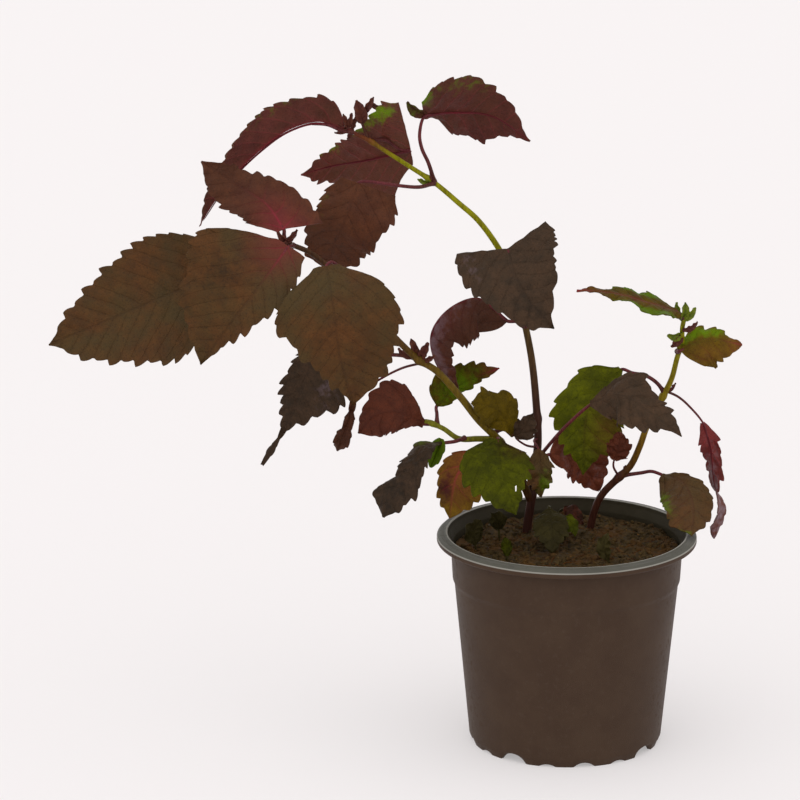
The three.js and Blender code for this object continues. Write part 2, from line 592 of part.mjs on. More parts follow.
// A blade is a closed thin sheet, split into triangles alike on both faces.
function bladeGeometry(leaf) {
  const rib = routeCurve(leaf.rib);
  const length = rib.getLength();
  const step = (1 - toothStart) / leaf.teeth;
  const depth = Math.min(toothMost, toothShare * step * length + toothLeast);
  const rows = [{ along: 0, tooth: 0 }];
  for (let k = 0; k < leaf.teeth; k++) {
    rows.push({ along: toothStart + k * step, tooth: 0 });
    if (k < leaf.teeth - 1) rows.push({ along: toothStart + (k + toothPeak) * step, tooth: depth });
  }
  rows.push({ along: 1, tooth: 0 });
  const across = leaf.bend ? [-1, -0.5, 0, 0.5, 1] : [-1, 0, 1];
  const columns = across.length;
  const upper = [];
  const lower = [];
  rows.forEach(({ along, tooth }) => {
    across.forEach((s) => {
      const { point, normal } = bladePoint(leaf, rib, along, s, Math.abs(s) === 1 ? tooth : 0);
      upper.push(point.clone().addScaledVector(normal, bladeThickness / 2).toArray());
      lower.push(point.clone().addScaledVector(normal, -bladeThickness / 2).toArray());
    });
  });
  const under = upper.length;
  const faces = [];
  const quad = (a, b, c, d) => faces.push([a, b, c], [a, c, d]);
  for (let i = 0; i + 1 < rows.length; i++) {
    for (let j = 0; j + 1 < columns; j++) {
      const [a, b] = [i * columns + j, i * columns + j + 1];
      const [d, c] = [a + columns, b + columns];
      if (j < (columns - 1) / 2) {
        quad(b, c, d, a);
        faces.push([under + b, under + d, under + c], [under + b, under + a, under + d]);
      } else {
        quad(a, b, c, d);
        faces.push([under + a, under + c, under + b], [under + a, under + d, under + c]);
      }
    }
    const [left, right] = [i * columns, (i + 1) * columns - 1];
    const [nextLeft, nextRight] = [left + columns, right + columns];
    quad(left, nextLeft, under + nextLeft, under + left);
    quad(right, under + right, under + nextRight, nextRight);
  }
  for (let j = 0; j + 1 < columns; j++) {
    const tip = (rows.length - 1) * columns + j;
    quad(j, under + j, under + j + 1, j + 1);
    quad(tip, tip + 1, under + tip + 1, under + tip);
  }
  const geometry = new THREE.BufferGeometry();
  geometry.setAttribute('position', new THREE.Float32BufferAttribute([...upper, ...lower].flat(), 3));
  geometry.setIndex(faces.flat());
  return geometry;
}

// The petiole runs from the stem's middle into the blade, and the stem's own space is then cut from it.
function petioleRoute(leaf) {
  const joint = routeCurve(leaf.rib).getPointAt(petioleSink).toArray();
  return [...leaf.petiole, joint];
}

function makeLeaf(leaf, taken) {
  const route = petioleRoute(leaf);
  const large = Math.max(largestHalf(leaf, 0), largestHalf(leaf, 1)) > largeHalf;
  const radii = large ? petioleRadii.large : petioleRadii.small;
  const petiole = toSolid(rod(route, radii, route.length + 1, petioleSides));
  const whole = toSolid(bladeGeometry(leaf)).add(petiole);
  return largestPiece(taken.reduce((rest, solid) => rest.subtract(solid), whole));
}

function makeMesh(name, solid, color, roughness) {
  const material = new THREE.MeshStandardMaterial({ color: colors[color], roughness, metalness: 0 });
  const mesh = new THREE.Mesh(toGeometry(solid), material);
  mesh.name = name;
  return mesh;
}

const plant = new THREE.Group();
plant.add(makeMesh('pot', makePot(), 'potBrown', 0.5));

const stemSpaces = Object.values(stems).flatMap((stem) => [
  ...stemRoutes(stem).map(({ route, radii, steps }) => toSolid(rod(route, radii, steps, stemSides, gap))),
  ...stem.buds.map((bud) => toSolid(budGeometry(bud, gap))),
]);

// A plain hole for a stem or stalk, from just under its foot up through the soil's top.
function makeHole(points, radius, steps, sides, clear) {
  const [x, y, z] = points[0];
  return toSolid(rod([[x, y, z - gap], ...points.slice(1)], [radius, radius], steps, sides, clear));
}

const stemHoles = Object.values(stems).map((stem) => {
  const [trunk] = stemRoutes(stem);
  return makeHole(trunk.route.slice(0, 4), trunk.radii[0], 8, stemSides, gap);
});
const stalkHoles = Object.values(seedlings).map((leaf) => (
  makeHole(leaf.petiole, petioleRadii.small[0], leaf.petiole.length + 1, petioleSides, 2 * gap)
));
plant.add(makeMesh('soil', makeSoil([...stemHoles, ...stalkHoles]), 'peat', 0.95));

for (const [name, stem] of Object.entries(stems)) plant.add(makeMesh(name, makeStem(stem), stem.color, 0.6));
for (const [name, leaf] of Object.entries(leaves)) {
  plant.add(makeMesh(name, makeLeaf(leaf, stemSpaces), leaf.color, 0.6));
}
for (const [name, leaf] of Object.entries(seedlings)) {
  plant.add(makeMesh(name, makeLeaf(leaf, []), leaf.color, 0.6));
}

export default plant;
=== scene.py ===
import bisect
import math
import random
import re

import bmesh
import bpy
from mathutils import Color, Matrix, Vector, noise


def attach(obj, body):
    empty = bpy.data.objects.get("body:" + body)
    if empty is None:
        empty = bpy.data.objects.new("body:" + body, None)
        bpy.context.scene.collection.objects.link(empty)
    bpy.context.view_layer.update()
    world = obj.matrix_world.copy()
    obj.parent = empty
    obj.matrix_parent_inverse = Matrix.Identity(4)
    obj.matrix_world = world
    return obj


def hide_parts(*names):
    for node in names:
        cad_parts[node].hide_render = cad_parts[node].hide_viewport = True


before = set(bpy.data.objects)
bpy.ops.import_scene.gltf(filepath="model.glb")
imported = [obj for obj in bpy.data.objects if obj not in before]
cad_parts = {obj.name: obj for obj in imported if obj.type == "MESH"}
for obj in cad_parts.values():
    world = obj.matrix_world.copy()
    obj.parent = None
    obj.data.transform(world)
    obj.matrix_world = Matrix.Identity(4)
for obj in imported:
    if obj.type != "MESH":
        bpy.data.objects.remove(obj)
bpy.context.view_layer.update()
scene = bpy.context.scene
mm = 0.001    # the tables below are in millimetres

print("camera and stage")
view = {
    "aim": (-76.97, 0, 162.95), "distance": 2400, "pitch": 15.7,
    "lens": 235.6, "sensor": 36, "farthest": 50000,
}
stage = {
    "floorHalf": 9000, "floorColour": "#b8b5b5", "floorGlow": 0.405,
    "worldColour": "#f9f6f6", "worldStrength": 0.9,
    "lights": [    # where it shines from, watts to the square metre, softness in degrees
        ((-900, -1500, 1700), 0.6, 70),
        ((1300, -1100, 1100), 0.33, 90),
        ((-200, 500, 2200), 0.38, 100),
    ],
}


def paint(text):
    # a web colour as linear red, green, blue, alpha
    channels = [int(text[k:k + 2], 16) / 255 for k in (1, 3, 5)]
    return (*Color(channels).from_srgb_to_scene_linear(), 1.0)


def addNode(tree, kind, inputs=None, **settings):
    node = tree.nodes.new("ShaderNode" + kind)
    for key, value in settings.items():
        setattr(node, key, value)
    for key, value in (inputs or {}).items():
        if isinstance(value, bpy.types.NodeSocket):
            tree.links.new(value, node.inputs[key])
        else:
            node.inputs[key].default_value = value
    return node


def mathNode(tree, operation, *values):
    return addNode(tree, "Math", dict(enumerate(values)), operation=operation).outputs[0]


def scaled(tree, value, factor, offset=0.0):
    return mathNode(tree, "MULTIPLY_ADD", value, factor, offset)


def mixColours(tree, share, first, second, mode="MIX"):
    # the mix node has its share at input 0 and its colours at inputs 6 and 7
    inputs = {0: share, 6: first, 7: second}
    return addNode(tree, "Mix", inputs, data_type="RGBA", blend_type=mode).outputs[2]


def darken(tree, colour, amount):
    return mixColours(tree, 1.0, colour, (*amount, 1), "MULTIPLY")


def remap(tree, value, low, high, start=0.0, end=1.0):
    inputs = {"Value": value, "From Min": low, "From Max": high, "To Min": start, "To Max": end}
    return addNode(tree, "MapRange", inputs, interpolation_type="SMOOTHSTEP").outputs[0]


def newGroup(name, inputs, outputs):
    # an input without a value is a vector
    group = bpy.data.node_groups.new(name, "ShaderNodeTree")
    for label, value in inputs.items():
        kind = "NodeSocketVector" if value is None else "NodeSocketFloat"
        socket = group.interface.new_socket(label, in_out="INPUT", socket_type=kind)
        if value is not None:
            socket.default_value = value
    for label in outputs:
        group.interface.new_socket(label, in_out="OUTPUT", socket_type="NodeSocketFloat")
    return group, group.nodes.new("NodeGroupInput").outputs, group.nodes.new("NodeGroupOutput").inputs


def placeGroup(tree, group, inputs):
    return addNode(tree, "Group", inputs, node_tree=group).outputs


def newMaterial(name, roughness, specular):
    material = bpy.data.materials.new(name)
    material.use_nodes = True
    shader = material.node_tree.nodes["Principled BSDF"]
    shader.inputs["Roughness"].default_value = roughness
    shader.inputs["Specular IOR Level"].default_value = specular
    return material, material.node_tree, shader


def link(name, data):
    thing = bpy.data.objects.new(name, data)
    scene.collection.objects.link(thing)
    return thing


def toMesh(name, bm):
    mesh = bpy.data.meshes.new(name)
    bm.to_mesh(mesh)
    bm.free()
    return mesh


def makeCamera():
    camera = link("camera", bpy.data.cameras.new("camera"))
    pitch = math.radians(view["pitch"])
    back = Vector((0, -math.cos(pitch), math.sin(pitch))) * view["distance"]
    camera.location = (Vector(view["aim"]) + back) * mm
    camera.rotation_euler = (math.pi / 2 - pitch, 0, 0)
    camera.data.lens = view["lens"]
    camera.data.sensor_width = view["sensor"]
    camera.data.clip_end = view["farthest"] * mm
    scene.camera = camera


def makeStage():
    bm = bmesh.new()
    bmesh.ops.create_grid(bm, x_segments=1, y_segments=1, size=stage["floorHalf"] * mm)
    floor = link("floor", toMesh("floor", bm))
    material, _, shader = newMaterial("paleFloor", 0.9, 0.1)
    shader.inputs["Base Color"].default_value = paint(stage["floorColour"])
    shader.inputs["Emission Color"].default_value = paint(stage["worldColour"])
    shader.inputs["Emission Strength"].default_value = stage["floorGlow"]
    floor.data.materials.append(material)

    scene.view_settings.view_transform = "Standard"
    scene.world = bpy.data.worlds.new("paleRoom")
    scene.world.use_nodes = True
    background = scene.world.node_tree.nodes["Background"]
    background.inputs["Color"].default_value = paint(stage["worldColour"])
    background.inputs["Strength"].default_value = stage["worldStrength"]
    for place, watts, softness in stage["lights"]:
        light = bpy.data.lights.new("softLight", "SUN")
        light.energy = watts
        light.angle = math.radians(softness)
        lamp = link("softLight", light)
        lamp.location = Vector(place) * mm
        lamp.rotation_euler = (-Vector(place)).to_track_quat("-Z", "Y").to_euler()


makeCamera()
makeStage()

print("shared shader groups")


def makeMottle():
    # soft cloudy variation, 0 to 1
    group, given, result = newGroup("mottle", {"Vector": None, "Scale": 100.0, "Detail": 3.0}, ["Value"])
    inputs = {key: given[key] for key in ("Vector", "Scale", "Detail")}
    cloud = addNode(group, "TexNoise", {**inputs, "Roughness": 0.6})
    group.links.new(remap(group, cloud.outputs["Fac"], 0.3, 0.7), result["Value"])
    return group


def makeVeins():
    # the rib, side veins and fine net of a leaf, on its own map: x out from the rib, y along it
    inputs = {"Vector": None, "Slope": 0.8, "Rib Width": 0.12, "Vein Width": 0.09, "Net Scale": 5.0,
              "Net Width": 0.14}
    group, given, result = newGroup("leafVeins", inputs, ["Rib", "Veins", "Net", "Cells"])
    split = addNode(group, "SeparateXYZ", {"Vector": given["Vector"]}).outputs
    outward = mathNode(group, "ABSOLUTE", split["X"])
    climb = scaled(group, outward, given["Slope"])
    away = mathNode(group, "PINGPONG", mathNode(group, "SUBTRACT", split["Y"], climb), 0.5)
    taper = remap(group, outward, 0.0, 4.0, 1.0, 0.45)
    width = scaled(group, given["Vein Width"], taper)
    group.links.new(remap(group, away, 0.0, width, 1.0, 0.0), result["Veins"])
    group.links.new(remap(group, outward, 0.0, given["Rib Width"], 1.0, 0.0), result["Rib"])
    inputs = {"Vector": given["Vector"], "Scale": given["Net Scale"]}
    net = addNode(group, "TexVoronoi", inputs, feature="DISTANCE_TO_EDGE").outputs["Distance"]
    group.links.new(remap(group, net, 0.0, given["Net Width"], 1.0, 0.0), result["Net"])
    cells = addNode(group, "TexVoronoi", inputs).outputs["Color"]
    cells = addNode(group, "SeparateColor", {"Color": cells}).outputs["Red"]
    group.links.new(cells, result["Cells"])
    return group


mottleGroup = makeMottle()
veinGroup = makeVeins()


def mottle(tree, vector, scale, detail=3.0):
    return placeGroup(tree, mottleGroup, {"Vector": vector, "Scale": scale, "Detail": detail})["Value"]


def objectPlace(tree):
    return addNode(tree, "TexCoord").outputs["Object"]


def leafPlace(tree):
    return addNode(tree, "UVMap", uv_map="leafMap").outputs["UV"]


def addBump(tree, shader, height, distance, strength):
    inputs = {"Height": height, "Distance": distance * mm, "Strength": strength}
    bump = addNode(tree, "Bump", inputs)
    tree.links.new(bump.outputs["Normal"], shader.inputs["Normal"])


print("leaf finishes")
leafFinishes = {    # dark and light of each side, the vein on each side
    "leaf_purple": {
        "upper": ("#3c1f14", "#58321e"), "under": ("#421e1a", "#5b2d26"), "vein": ("#2e150f", "#6e2a2c"),
        "tint": "#45291b",
    },
    "leaf_brown": {
        "upper": ("#402812", "#5c391b"), "under": ("#43241a", "#592f22"), "vein": ("#28190f", "#6b3428"),
        "tint": "#43381e",
    },
    "leaf_grey": {
        "upper": ("#2e2318", "#463324"), "under": ("#3a2420", "#4c2f29"), "vein": ("#241b14", "#5c3630"),
    },
    "leaf_red": {
        "upper": ("#3d1b11", "#552919"), "under": ("#461d1a", "#602824"), "vein": ("#2f130e", "#7a2c2c"),
    },
    "leaf_green": {
        "upper": ("#31340a", "#55590a"), "under": ("#3e420c", "#5c6012"), "vein": ("#262a0a", "#6d6a1c"),
        "shine": 0.03,
    },
    "leaf_olive": {
        "upper": ("#3c3007", "#594709"), "under": ("#412c12", "#5a3e18"), "vein": ("#2a2109", "#6f4a20"),
        "shine": 0.04,
    },
    "leaf_low": {    # darker colours for the leaves down in the pot: partly their own dull green, partly painted shade
        "upper": ("#27220e", "#3a3419"), "under": ("#2b230f", "#3d331b"), "vein": ("#1e1a0c", "#4c4526"),
        "shine": 0.05,
    },
}
# the pale grey patch colour is painted sheen, laid over the leaves' own colours
patchColours = {"green": "#4c6105", "pink": "#7a2530", "paintedSheen": "#665559", "dark": "#1d160f"}
patchKinds = list(patchColours)
leafLook = {
    "shine": 0.1, "cloudScale": 130.0, "tintScale": 45.0, "speckScale": 1400.0, "blotchScale": 300.0,
    "grainScale": 900.0, "cellShare": 0.35, "tintShare": 0.75, "speckShare": 0.35, "sideVeinShare": 0.7,
    "veinShare": {"upper": 0.22, "under": 0.45}, "relief": {"upper": -0.35, "under": 0.35},
}


def makeLeafMaterial(name, side):
    finish = leafFinishes[name]
    shine = finish.get("shine", leafLook["shine"])
    material, tree, shader = newMaterial(name + side.capitalize(), 0.5, shine)
    place = objectPlace(tree)
    mask = addNode(tree, "Attribute", attribute_name="leafMask").outputs
    marks = addNode(tree, "SeparateColor", {"Color": mask["Color"]}).outputs
    veins = placeGroup(tree, veinGroup, {"Vector": leafPlace(tree), "Slope": bladeBuild["veinSlope"]})
    clouds = mottle(tree, place, leafLook["cloudScale"])
    dark, light = (paint(text) for text in finish[side])
    colour = mixColours(tree, scaled(tree, clouds, 0.65, 0.2), dark, light)

    def cover(share, strength, text):
        return mixColours(tree, scaled(tree, share, strength), colour, paint(text))

    colour = cover(veins["Cells"], leafLook["cellShare"], finish[side][0])
    if "tint" in finish:
        broad = mottle(tree, place, leafLook["tintScale"], 5.0)
        colour = cover(broad, leafLook["tintShare"], finish["tint"])
    specks = remap(tree, mottle(tree, place, leafLook["speckScale"], 1.0), 0.8, 1.0)
    colour = cover(specks, leafLook["speckShare"], patchColours["dark"])
    blotch = scaled(tree, mottle(tree, place, leafLook["blotchScale"]), 0.4, -0.2)
    # the blue mark lays on the pale grey of painted sheen
    patches = (marks["Red"], "green", 0.15), (marks["Blue"], "paintedSheen", 0.15), (mask["Alpha"], "dark", 0.1)
    for mark, key, low in patches:
        share = remap(tree, mathNode(tree, "ADD", mark, blotch), low, 1 - low)
        colour = mixColours(tree, share, colour, paint(patchColours[key]))
    sideVeins = scaled(tree, veins["Veins"], leafLook["sideVeinShare"])
    lines = mathNode(tree, "MAXIMUM", veins["Rib"], sideVeins)
    colour = cover(lines, leafLook["veinShare"][side], finish["vein"][0 if side == "upper" else 1])
    glow = scaled(tree, lines, 0.55, 0.45)
    colour = cover(marks["Green"], glow, patchColours["pink"])
    # painted light and shade: each leaf's colour is scaled by one plus its share of painted light, and
    # darkened where the share is below zero
    paintedLight = addNode(tree, "Attribute", attribute_name="leafPaintedLight").outputs["Fac"]
    inputs = {0: colour, "Scale": mathNode(tree, "ADD", paintedLight, 1.0)}
    colour = addNode(tree, "VectorMath", inputs, operation="SCALE").outputs[0]
    tree.links.new(colour, shader.inputs["Base Color"])
    tree.links.new(scaled(tree, clouds, 0.15, 0.42), shader.inputs["Roughness"])
    height = scaled(tree, veins["Net"], 0.3, lines)
    height = scaled(tree, mottle(tree, place, leafLook["grainScale"]), -0.3, height)
    addBump(tree, shader, height, leafLook["relief"][side], 0.7)
    return material


def makeStemMaterial(name, stops):
    # stops of colour from the foot of the stem to its tip
    material, tree, shader = newMaterial(name, 0.45, 0.12)
    along = addNode(tree, "SeparateXYZ", {"Vector": leafPlace(tree)}).outputs["Y"]
    ramp = addNode(tree, "ValToRGB", {"Fac": along})
    while len(ramp.color_ramp.elements) < len(stops):
        ramp.color_ramp.elements.new(0.5)
    for element, (where, text) in zip(ramp.color_ramp.elements, stops):
        element.position = where
        element.color = paint(text)
    colour = ramp.outputs["Color"]
    streak = addNode(tree, "Mapping", {"Vector": objectPlace(tree), "Scale": (1.0, 1.0, 0.12)})
    streak = mottle(tree, streak.outputs["Vector"], 900.0)
    darker = darken(tree, colour, (0.55, 0.5, 0.5))
    tree.links.new(mixColours(tree, streak, colour, darker), shader.inputs["Base Color"])
    addBump(tree, shader, streak, 0.15, 0.6)
    return material


bladeBuild = {
    "thickness": 0.4, "baseHalf": 1.0, "tipHalf": 0.3, "flatHalf": 2.5, "evenHalf": 1.5,
    "toothStart": 0.07, "toothPeak": 0.72, "toothBand": 0.78, "toothedHalf": 5, "toothLean": 0.9,
    "toothSizes": (0.75, 1.25), "deepest": 2.3, "tipFade": 1 / 6,
    "veinSpacing": 8, "veinSlope": 0.85, "veinCurve": 0.05, "wander": 0.22,
}
leafMaterials = {
    (name, side): makeLeafMaterial(name, side) for name in leafFinishes for side in ("upper", "under")
}
petioleMaterial = makeStemMaterial("petiole", [(0.0, "#56302a"), (0.6, "#6a2f33"), (1.0, "#5d2a2e")])
lowStalkMaterial = makeStemMaterial("lowStalk", [(0.0, "#2f2613"), (1.0, "#3f3b18")])

print("routes, tubes and blades")


def layRoute(points, detail=24):
    # a smooth curve through the points: takes a share of its length, gives the point and the way ahead
    points = [Vector(point) for point in points]
    points = [2 * points[0] - points[1], *points, 2 * points[-1] - points[-2]]
    fine = []
    for before, here, there, after in zip(points, points[1:], points[2:], points[3:]):
        last, step, following = (
            math.sqrt((end - start).length) for start, end in ((before, here), (here, there), (there, after))
        )
        leave = ((here - before) / last - (there - before) / (last + step)) * step + there - here
        arrive = ((after - there) / following - (after - here) / (step + following)) * step + there - here
        fine += [easeBetween(here, there, leave, arrive, k / detail) for k in range(detail)]
    fine.append(points[-2])
    reached = [0.0]
    for start, end in zip(fine, fine[1:]):
        reached.append(reached[-1] + (end - start).length)
    final = len(fine) - 1
    ahead = [fine[min(k + 1, final)] - fine[max(k - 1, 0)] for k in range(final + 1)]

    def at(share):
        goal = share * reached[-1]
        k = min(max(bisect.bisect_right(reached, goal) - 1, 0), final - 1)
        part = (goal - reached[k]) / (reached[k + 1] - reached[k])
        return fine[k].lerp(fine[k + 1], part), ahead[k].lerp(ahead[k + 1], part).normalized()

    return at, reached[-1]


def easeBetween(here, there, leave, arrive, t):
    # a smooth step from here to there, with the slopes that it leaves and arrives with
    ease = t * t * (3 - 2 * t)
    return here + (there - here) * ease + leave * t * (1 - t) ** 2 - arrive * t * t * (1 - t)


def findPlace(values, share):
    # where a share of the way through a list lies: an index and the part of a step past it
    place = min(max(share, 0.0), 1.0) * (len(values) - 1)
    first = min(int(place), len(values) - 2)
    return first, place - first


def pick(values, share):
    first, part = findPlace(values, share)
    return values[first] + (values[first + 1] - values[first]) * part


def smoothPick(values, share):
    # as pick, with rounded changes
    first, part = findPlace(values, share)
    before, here, there, after = (values[min(max(first + k, 0), len(values) - 1)] for k in (-1, 0, 1, 2))
    return easeBetween(here, there, (there - before) / 2, (after - here) / 2, part)


def bendGrid(bm, columns, rows, place, chart, material=0):
    # a grid whose vertices move to place(x, y), with chart(x, y) as its map, for x and y from 0 to 1
    made = bmesh.ops.create_grid(bm, x_segments=columns, y_segments=rows, size=0.5)["verts"]
    shares = {vertex: (vertex.co.x + 0.5, vertex.co.y + 0.5) for vertex in made}
    for vertex, share in shares.items():
        vertex.co = place(*share)
    faces = {face for vertex in made for face in vertex.link_faces}
    layer = bm.loops.layers.uv["leafMap"]
    for face in faces:
        face.material_index = material
        for loop in face.loops:
            loop[layer].uv = chart(*shares[loop.vert])
    return made, faces, shares


def addTube(bm, points, radii, sides, steps, material, knots=(), sharpness=0.0):
    # a tube along a route, pointed at both ends; knots swell it at shares of its length
    at, length = layRoute(points)
    knotHalf = 2.2
    frames = []
    side = None
    for k in range(steps + 1):
        point, ahead = at(k / steps)
        side = ahead.orthogonal() if side is None else side
        side = (side - ahead * side.dot(ahead)).normalized()
        frames.append((point, side, ahead.cross(side)))

    def place(x, y):
        point, across, up = frames[round(y * steps)]
        angle = 2 * math.pi * x
        swell = sum(size * math.exp(-((y - where) * length / knotHalf) ** 2) for where, size in knots)
        closed = 0.0 if y in (0.0, 1.0) else 1.0
        radius = closed * (pick(radii, y) * (1 + sharpness * math.cos(4 * angle)) + swell)
        return point + (across * math.cos(angle) + up * math.sin(angle)) * radius

    made, _, _ = bendGrid(bm, sides, steps, place, lambda x, y: (x, y), material)
    bmesh.ops.remove_doubles(bm, verts=made, dist=1e-4)


def halfOf(leaf, side):
    return max(leaf["widths"][side]) if "widths" in leaf else leaf["half"][side]


def faceAt(leaf, along, ahead):
    face = pick([Vector(way) for way in leaf["face"]], along)
    return (face - ahead * face.dot(ahead)).normalized()


def bladeAt(leaf, rib, along, across, margin):
    # a point of a blade and the way its upper face looks there
    centre, ahead = rib(along)
    face = faceAt(leaf, along, ahead)
    side, sign = (0, -1) if across < 0 else (1, 1)
    way = ahead.cross(face) * sign
    least = pick([bladeBuild["baseHalf"], bladeBuild["tipHalf"]], along)
    if "widths" in leaf:
        half = smoothPick(leaf["widths"][side], along)
    else:
        power = math.log(0.5) / math.log(leaf["widest"])
        half = leaf["half"][side] * max(math.sin(math.pi * along ** power), 0) ** leaf["full"]
    margin *= min(1.0, half / bladeBuild["toothedHalf"])    # no teeth on a thin tail
    reach = abs(across) * max(half, least) + margin
    fold = math.radians(leaf["fold"][side])
    curl = math.radians(leaf["bend"][side] + 0.01) / halfOf(leaf, side)
    angle = fold + curl * reach
    out = (math.sin(angle) - math.sin(fold)) / curl
    rise = (math.cos(fold) - math.cos(angle)) / curl
    lean = leaf["sweep"][side] * reach + bladeBuild["toothLean"] * margin
    point = centre + way * out + face * rise + ahead * lean
    return point, (face * math.cos(angle) - way * math.sin(angle)).normalized(), reach


def toothAt(along, teeth, depth, chance):
    # how far the margin stands out: each tooth swells and then drops back to the next notch
    start, peak = bladeBuild["toothStart"], bladeBuild["toothPeak"]
    if along <= start or along >= 1:
        return 0.0
    place = (along - start) / (1 - start) * teeth
    number, part = int(place), place - int(place)
    rise = math.sin(math.pi / 2 * part / peak) ** 0.8 if part < peak else (1 - part) / (1 - peak)
    least, most = bladeBuild["toothSizes"]
    size = least + (most - least) * noise.cell(Vector((number * 1.7, chance, 0.5)))
    fade = min(1.0, (1 - along) / bladeBuild["tipFade"]) * min(1.0, (along - start) * 12 + 0.4)
    return depth * rise * size * fade


def maskAt(leaf, along, across, length):
    # how much green, pink, pale painted sheen and dark the leaf has at a place on it
    amounts = [0.0, 0.0, 0.0, 0.0]
    for kind, place, side, size, strength in leaf["patches"]:
        middle = (place * length, side * halfOf(leaf, 0 if side < 0 else 1))
        away = ((along - middle[0]) / size[0]) ** 2 + ((across - middle[1]) / size[1]) ** 2
        amounts[patchKinds.index(kind)] += strength * math.exp(-away)
    return [min(amount, 1.0) for amount in amounts]


def holeHolds(face, shares, along, across, radius):
    middle = [sum(shares[vertex][k] for vertex in face.verts) / len(face.verts) for k in (0, 1)]
    return math.hypot((middle[0] - across) * 2.2, middle[1] - along) < radius


def addBlade(bm, leaf, number, columns=10, skins=(0, 1)):
    # a thin toothed sheet, puckered between its veins, with its upper and under faces told apart
    rib, length = layRoute(leaf["rib"])
    teeth = leaf["teeth"]
    step = length * (1 - bladeBuild["toothStart"]) / teeth
    depth = leaf.get("depth", min(bladeBuild["deepest"], 0.32 * step + 0.35))
    veins = leaf.get("veins", max(4, round(length / bladeBuild["veinSpacing"])))
    puff, ripple, rough = leaf["relief"]
    maskLayer = bm.verts.layers.float_color["leafMask"]
    paintedLightLayer = bm.verts.layers.float["leafPaintedLight"]
    wayLayer = bm.verts.layers.float_vector["upperWay"]
    charts = {}

    def place(x, along):
        across = 2 * x - 1
        edge = max(0.0, (abs(across) - bladeBuild["toothBand"]) / (1 - bladeBuild["toothBand"]))
        margin = toothAt(along, teeth, depth, number + (0.3 if across < 0 else 0.7)) * edge ** 1.5
        point, normal, reach = bladeAt(leaf, rib, along, across, margin)
        u = math.copysign(reach, across) / (length / veins)
        seed = Vector((u * 0.7, along * veins * 0.7, number * 3.1))
        v = along * veins + bladeBuild["wander"] * noise.noise(seed) - bladeBuild["veinCurve"] * u * u
        phase = (v - bladeBuild["veinSlope"] * abs(u)) % 1.0
        flat = min(1.0, reach / bladeBuild["flatHalf"]) * (1 - 0.6 * abs(across) ** 4)
        bulge = puff * (math.sin(math.pi * phase) ** 0.7 - 0.5) * flat
        turns = along * (2.3 + 0.37 * (number % 4)) + number * 0.41
        wave = ripple * abs(across) ** 3 * math.sin(2 * math.pi * turns)
        even = min(1.0, reach / bladeBuild["evenHalf"])
        grain = rough * (noise.noise(seed * 3.1) + 0.5 * noise.noise(seed * 7.3)) * even
        charts[(x, along)] = (u, v, normal, reach)
        return point + normal * (bulge + wave + grain)

    rows = leaf["rowsPerTooth"] * teeth
    _, faces, shares = bendGrid(bm, 2 * columns, rows, place, lambda x, y: charts[(x, y)][:2])
    for vertex, share in shares.items():
        normal, reach = charts[share][2:]
        vertex[wayLayer] = normal
        # painted light: the leaf's share of brightening, which its material reads
        vertex[paintedLightLayer] = leaf["paintedLight"]
        vertex[maskLayer] = maskAt(leaf, share[1] * length, math.copysign(reach, share[0] - 0.5), length)
    for hole in leaf["holes"]:
        gone = [face for face in faces if holeHolds(face, shares, *hole)]
        faces.difference_update(gone)
        bmesh.ops.delete(bm, geom=gone, context="FACES")
    made = bmesh.ops.extrude_face_region(bm, geom=list(faces), use_keep_orig=True)["geom"]
    made = [vertex for vertex in made if isinstance(vertex, bmesh.types.BMVert)]
    for vertex in made:
        vertex.co -= vertex[wayLayer] * bladeBuild["thickness"]
    shell = faces | {face for vertex in made for face in vertex.link_faces}
    bmesh.ops.recalc_face_normals(bm, faces=list(shell))
    for face in shell:
        way = sum((vertex[wayLayer] for vertex in face.verts), Vector())
        face.material_index = skins[0] if face.normal.dot(way) > -0.2 * way.length else skins[1]
    return rib


def startPiece():
    bm = bmesh.new()
    bm.loops.layers.uv.new("leafMap")
    bm.verts.layers.float_color.new("leafMask")
    bm.verts.layers.float.new("leafPaintedLight")
    bm.verts.layers.float_vector.new("upperWay")
    return bm


def endPiece(name, bm, materials, slotName, node=None, sharpAngle=50):
    # closes a piece: rounded shading with sharp corners kept, its place in its mesh, and the imported part
    # that it stands for hidden
    for face in bm.faces:
        face.smooth = True
    for edge in bm.edges:
        edge.smooth = edge.calc_face_angle(0.0) < math.radians(sharpAngle)
    bmesh.ops.scale(bm, vec=(mm, mm, mm), verts=bm.verts[:])
    piece = link(name, toMesh(name, bm))
    for material in materials:
        piece.data.materials.append(material)
    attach(piece, "root")
    if node:
        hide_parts(node)
    return piece


print("leaves")
# each leaf's share of painted light: its colour is made brighter to stand in for light on leaves in shade
# behind others; below zero it is painted shade
leafBase = {
    "paintedLight": 0.0, "fold": (5, 5), "bend": (0, 0), "sweep": (0, 0), "widest": 0.4, "full": 0.8,
    "relief": (0.8, 1.0, 0.5), "rowsPerTooth": 8, "patches": (), "holes": (), "lobes": (),
}
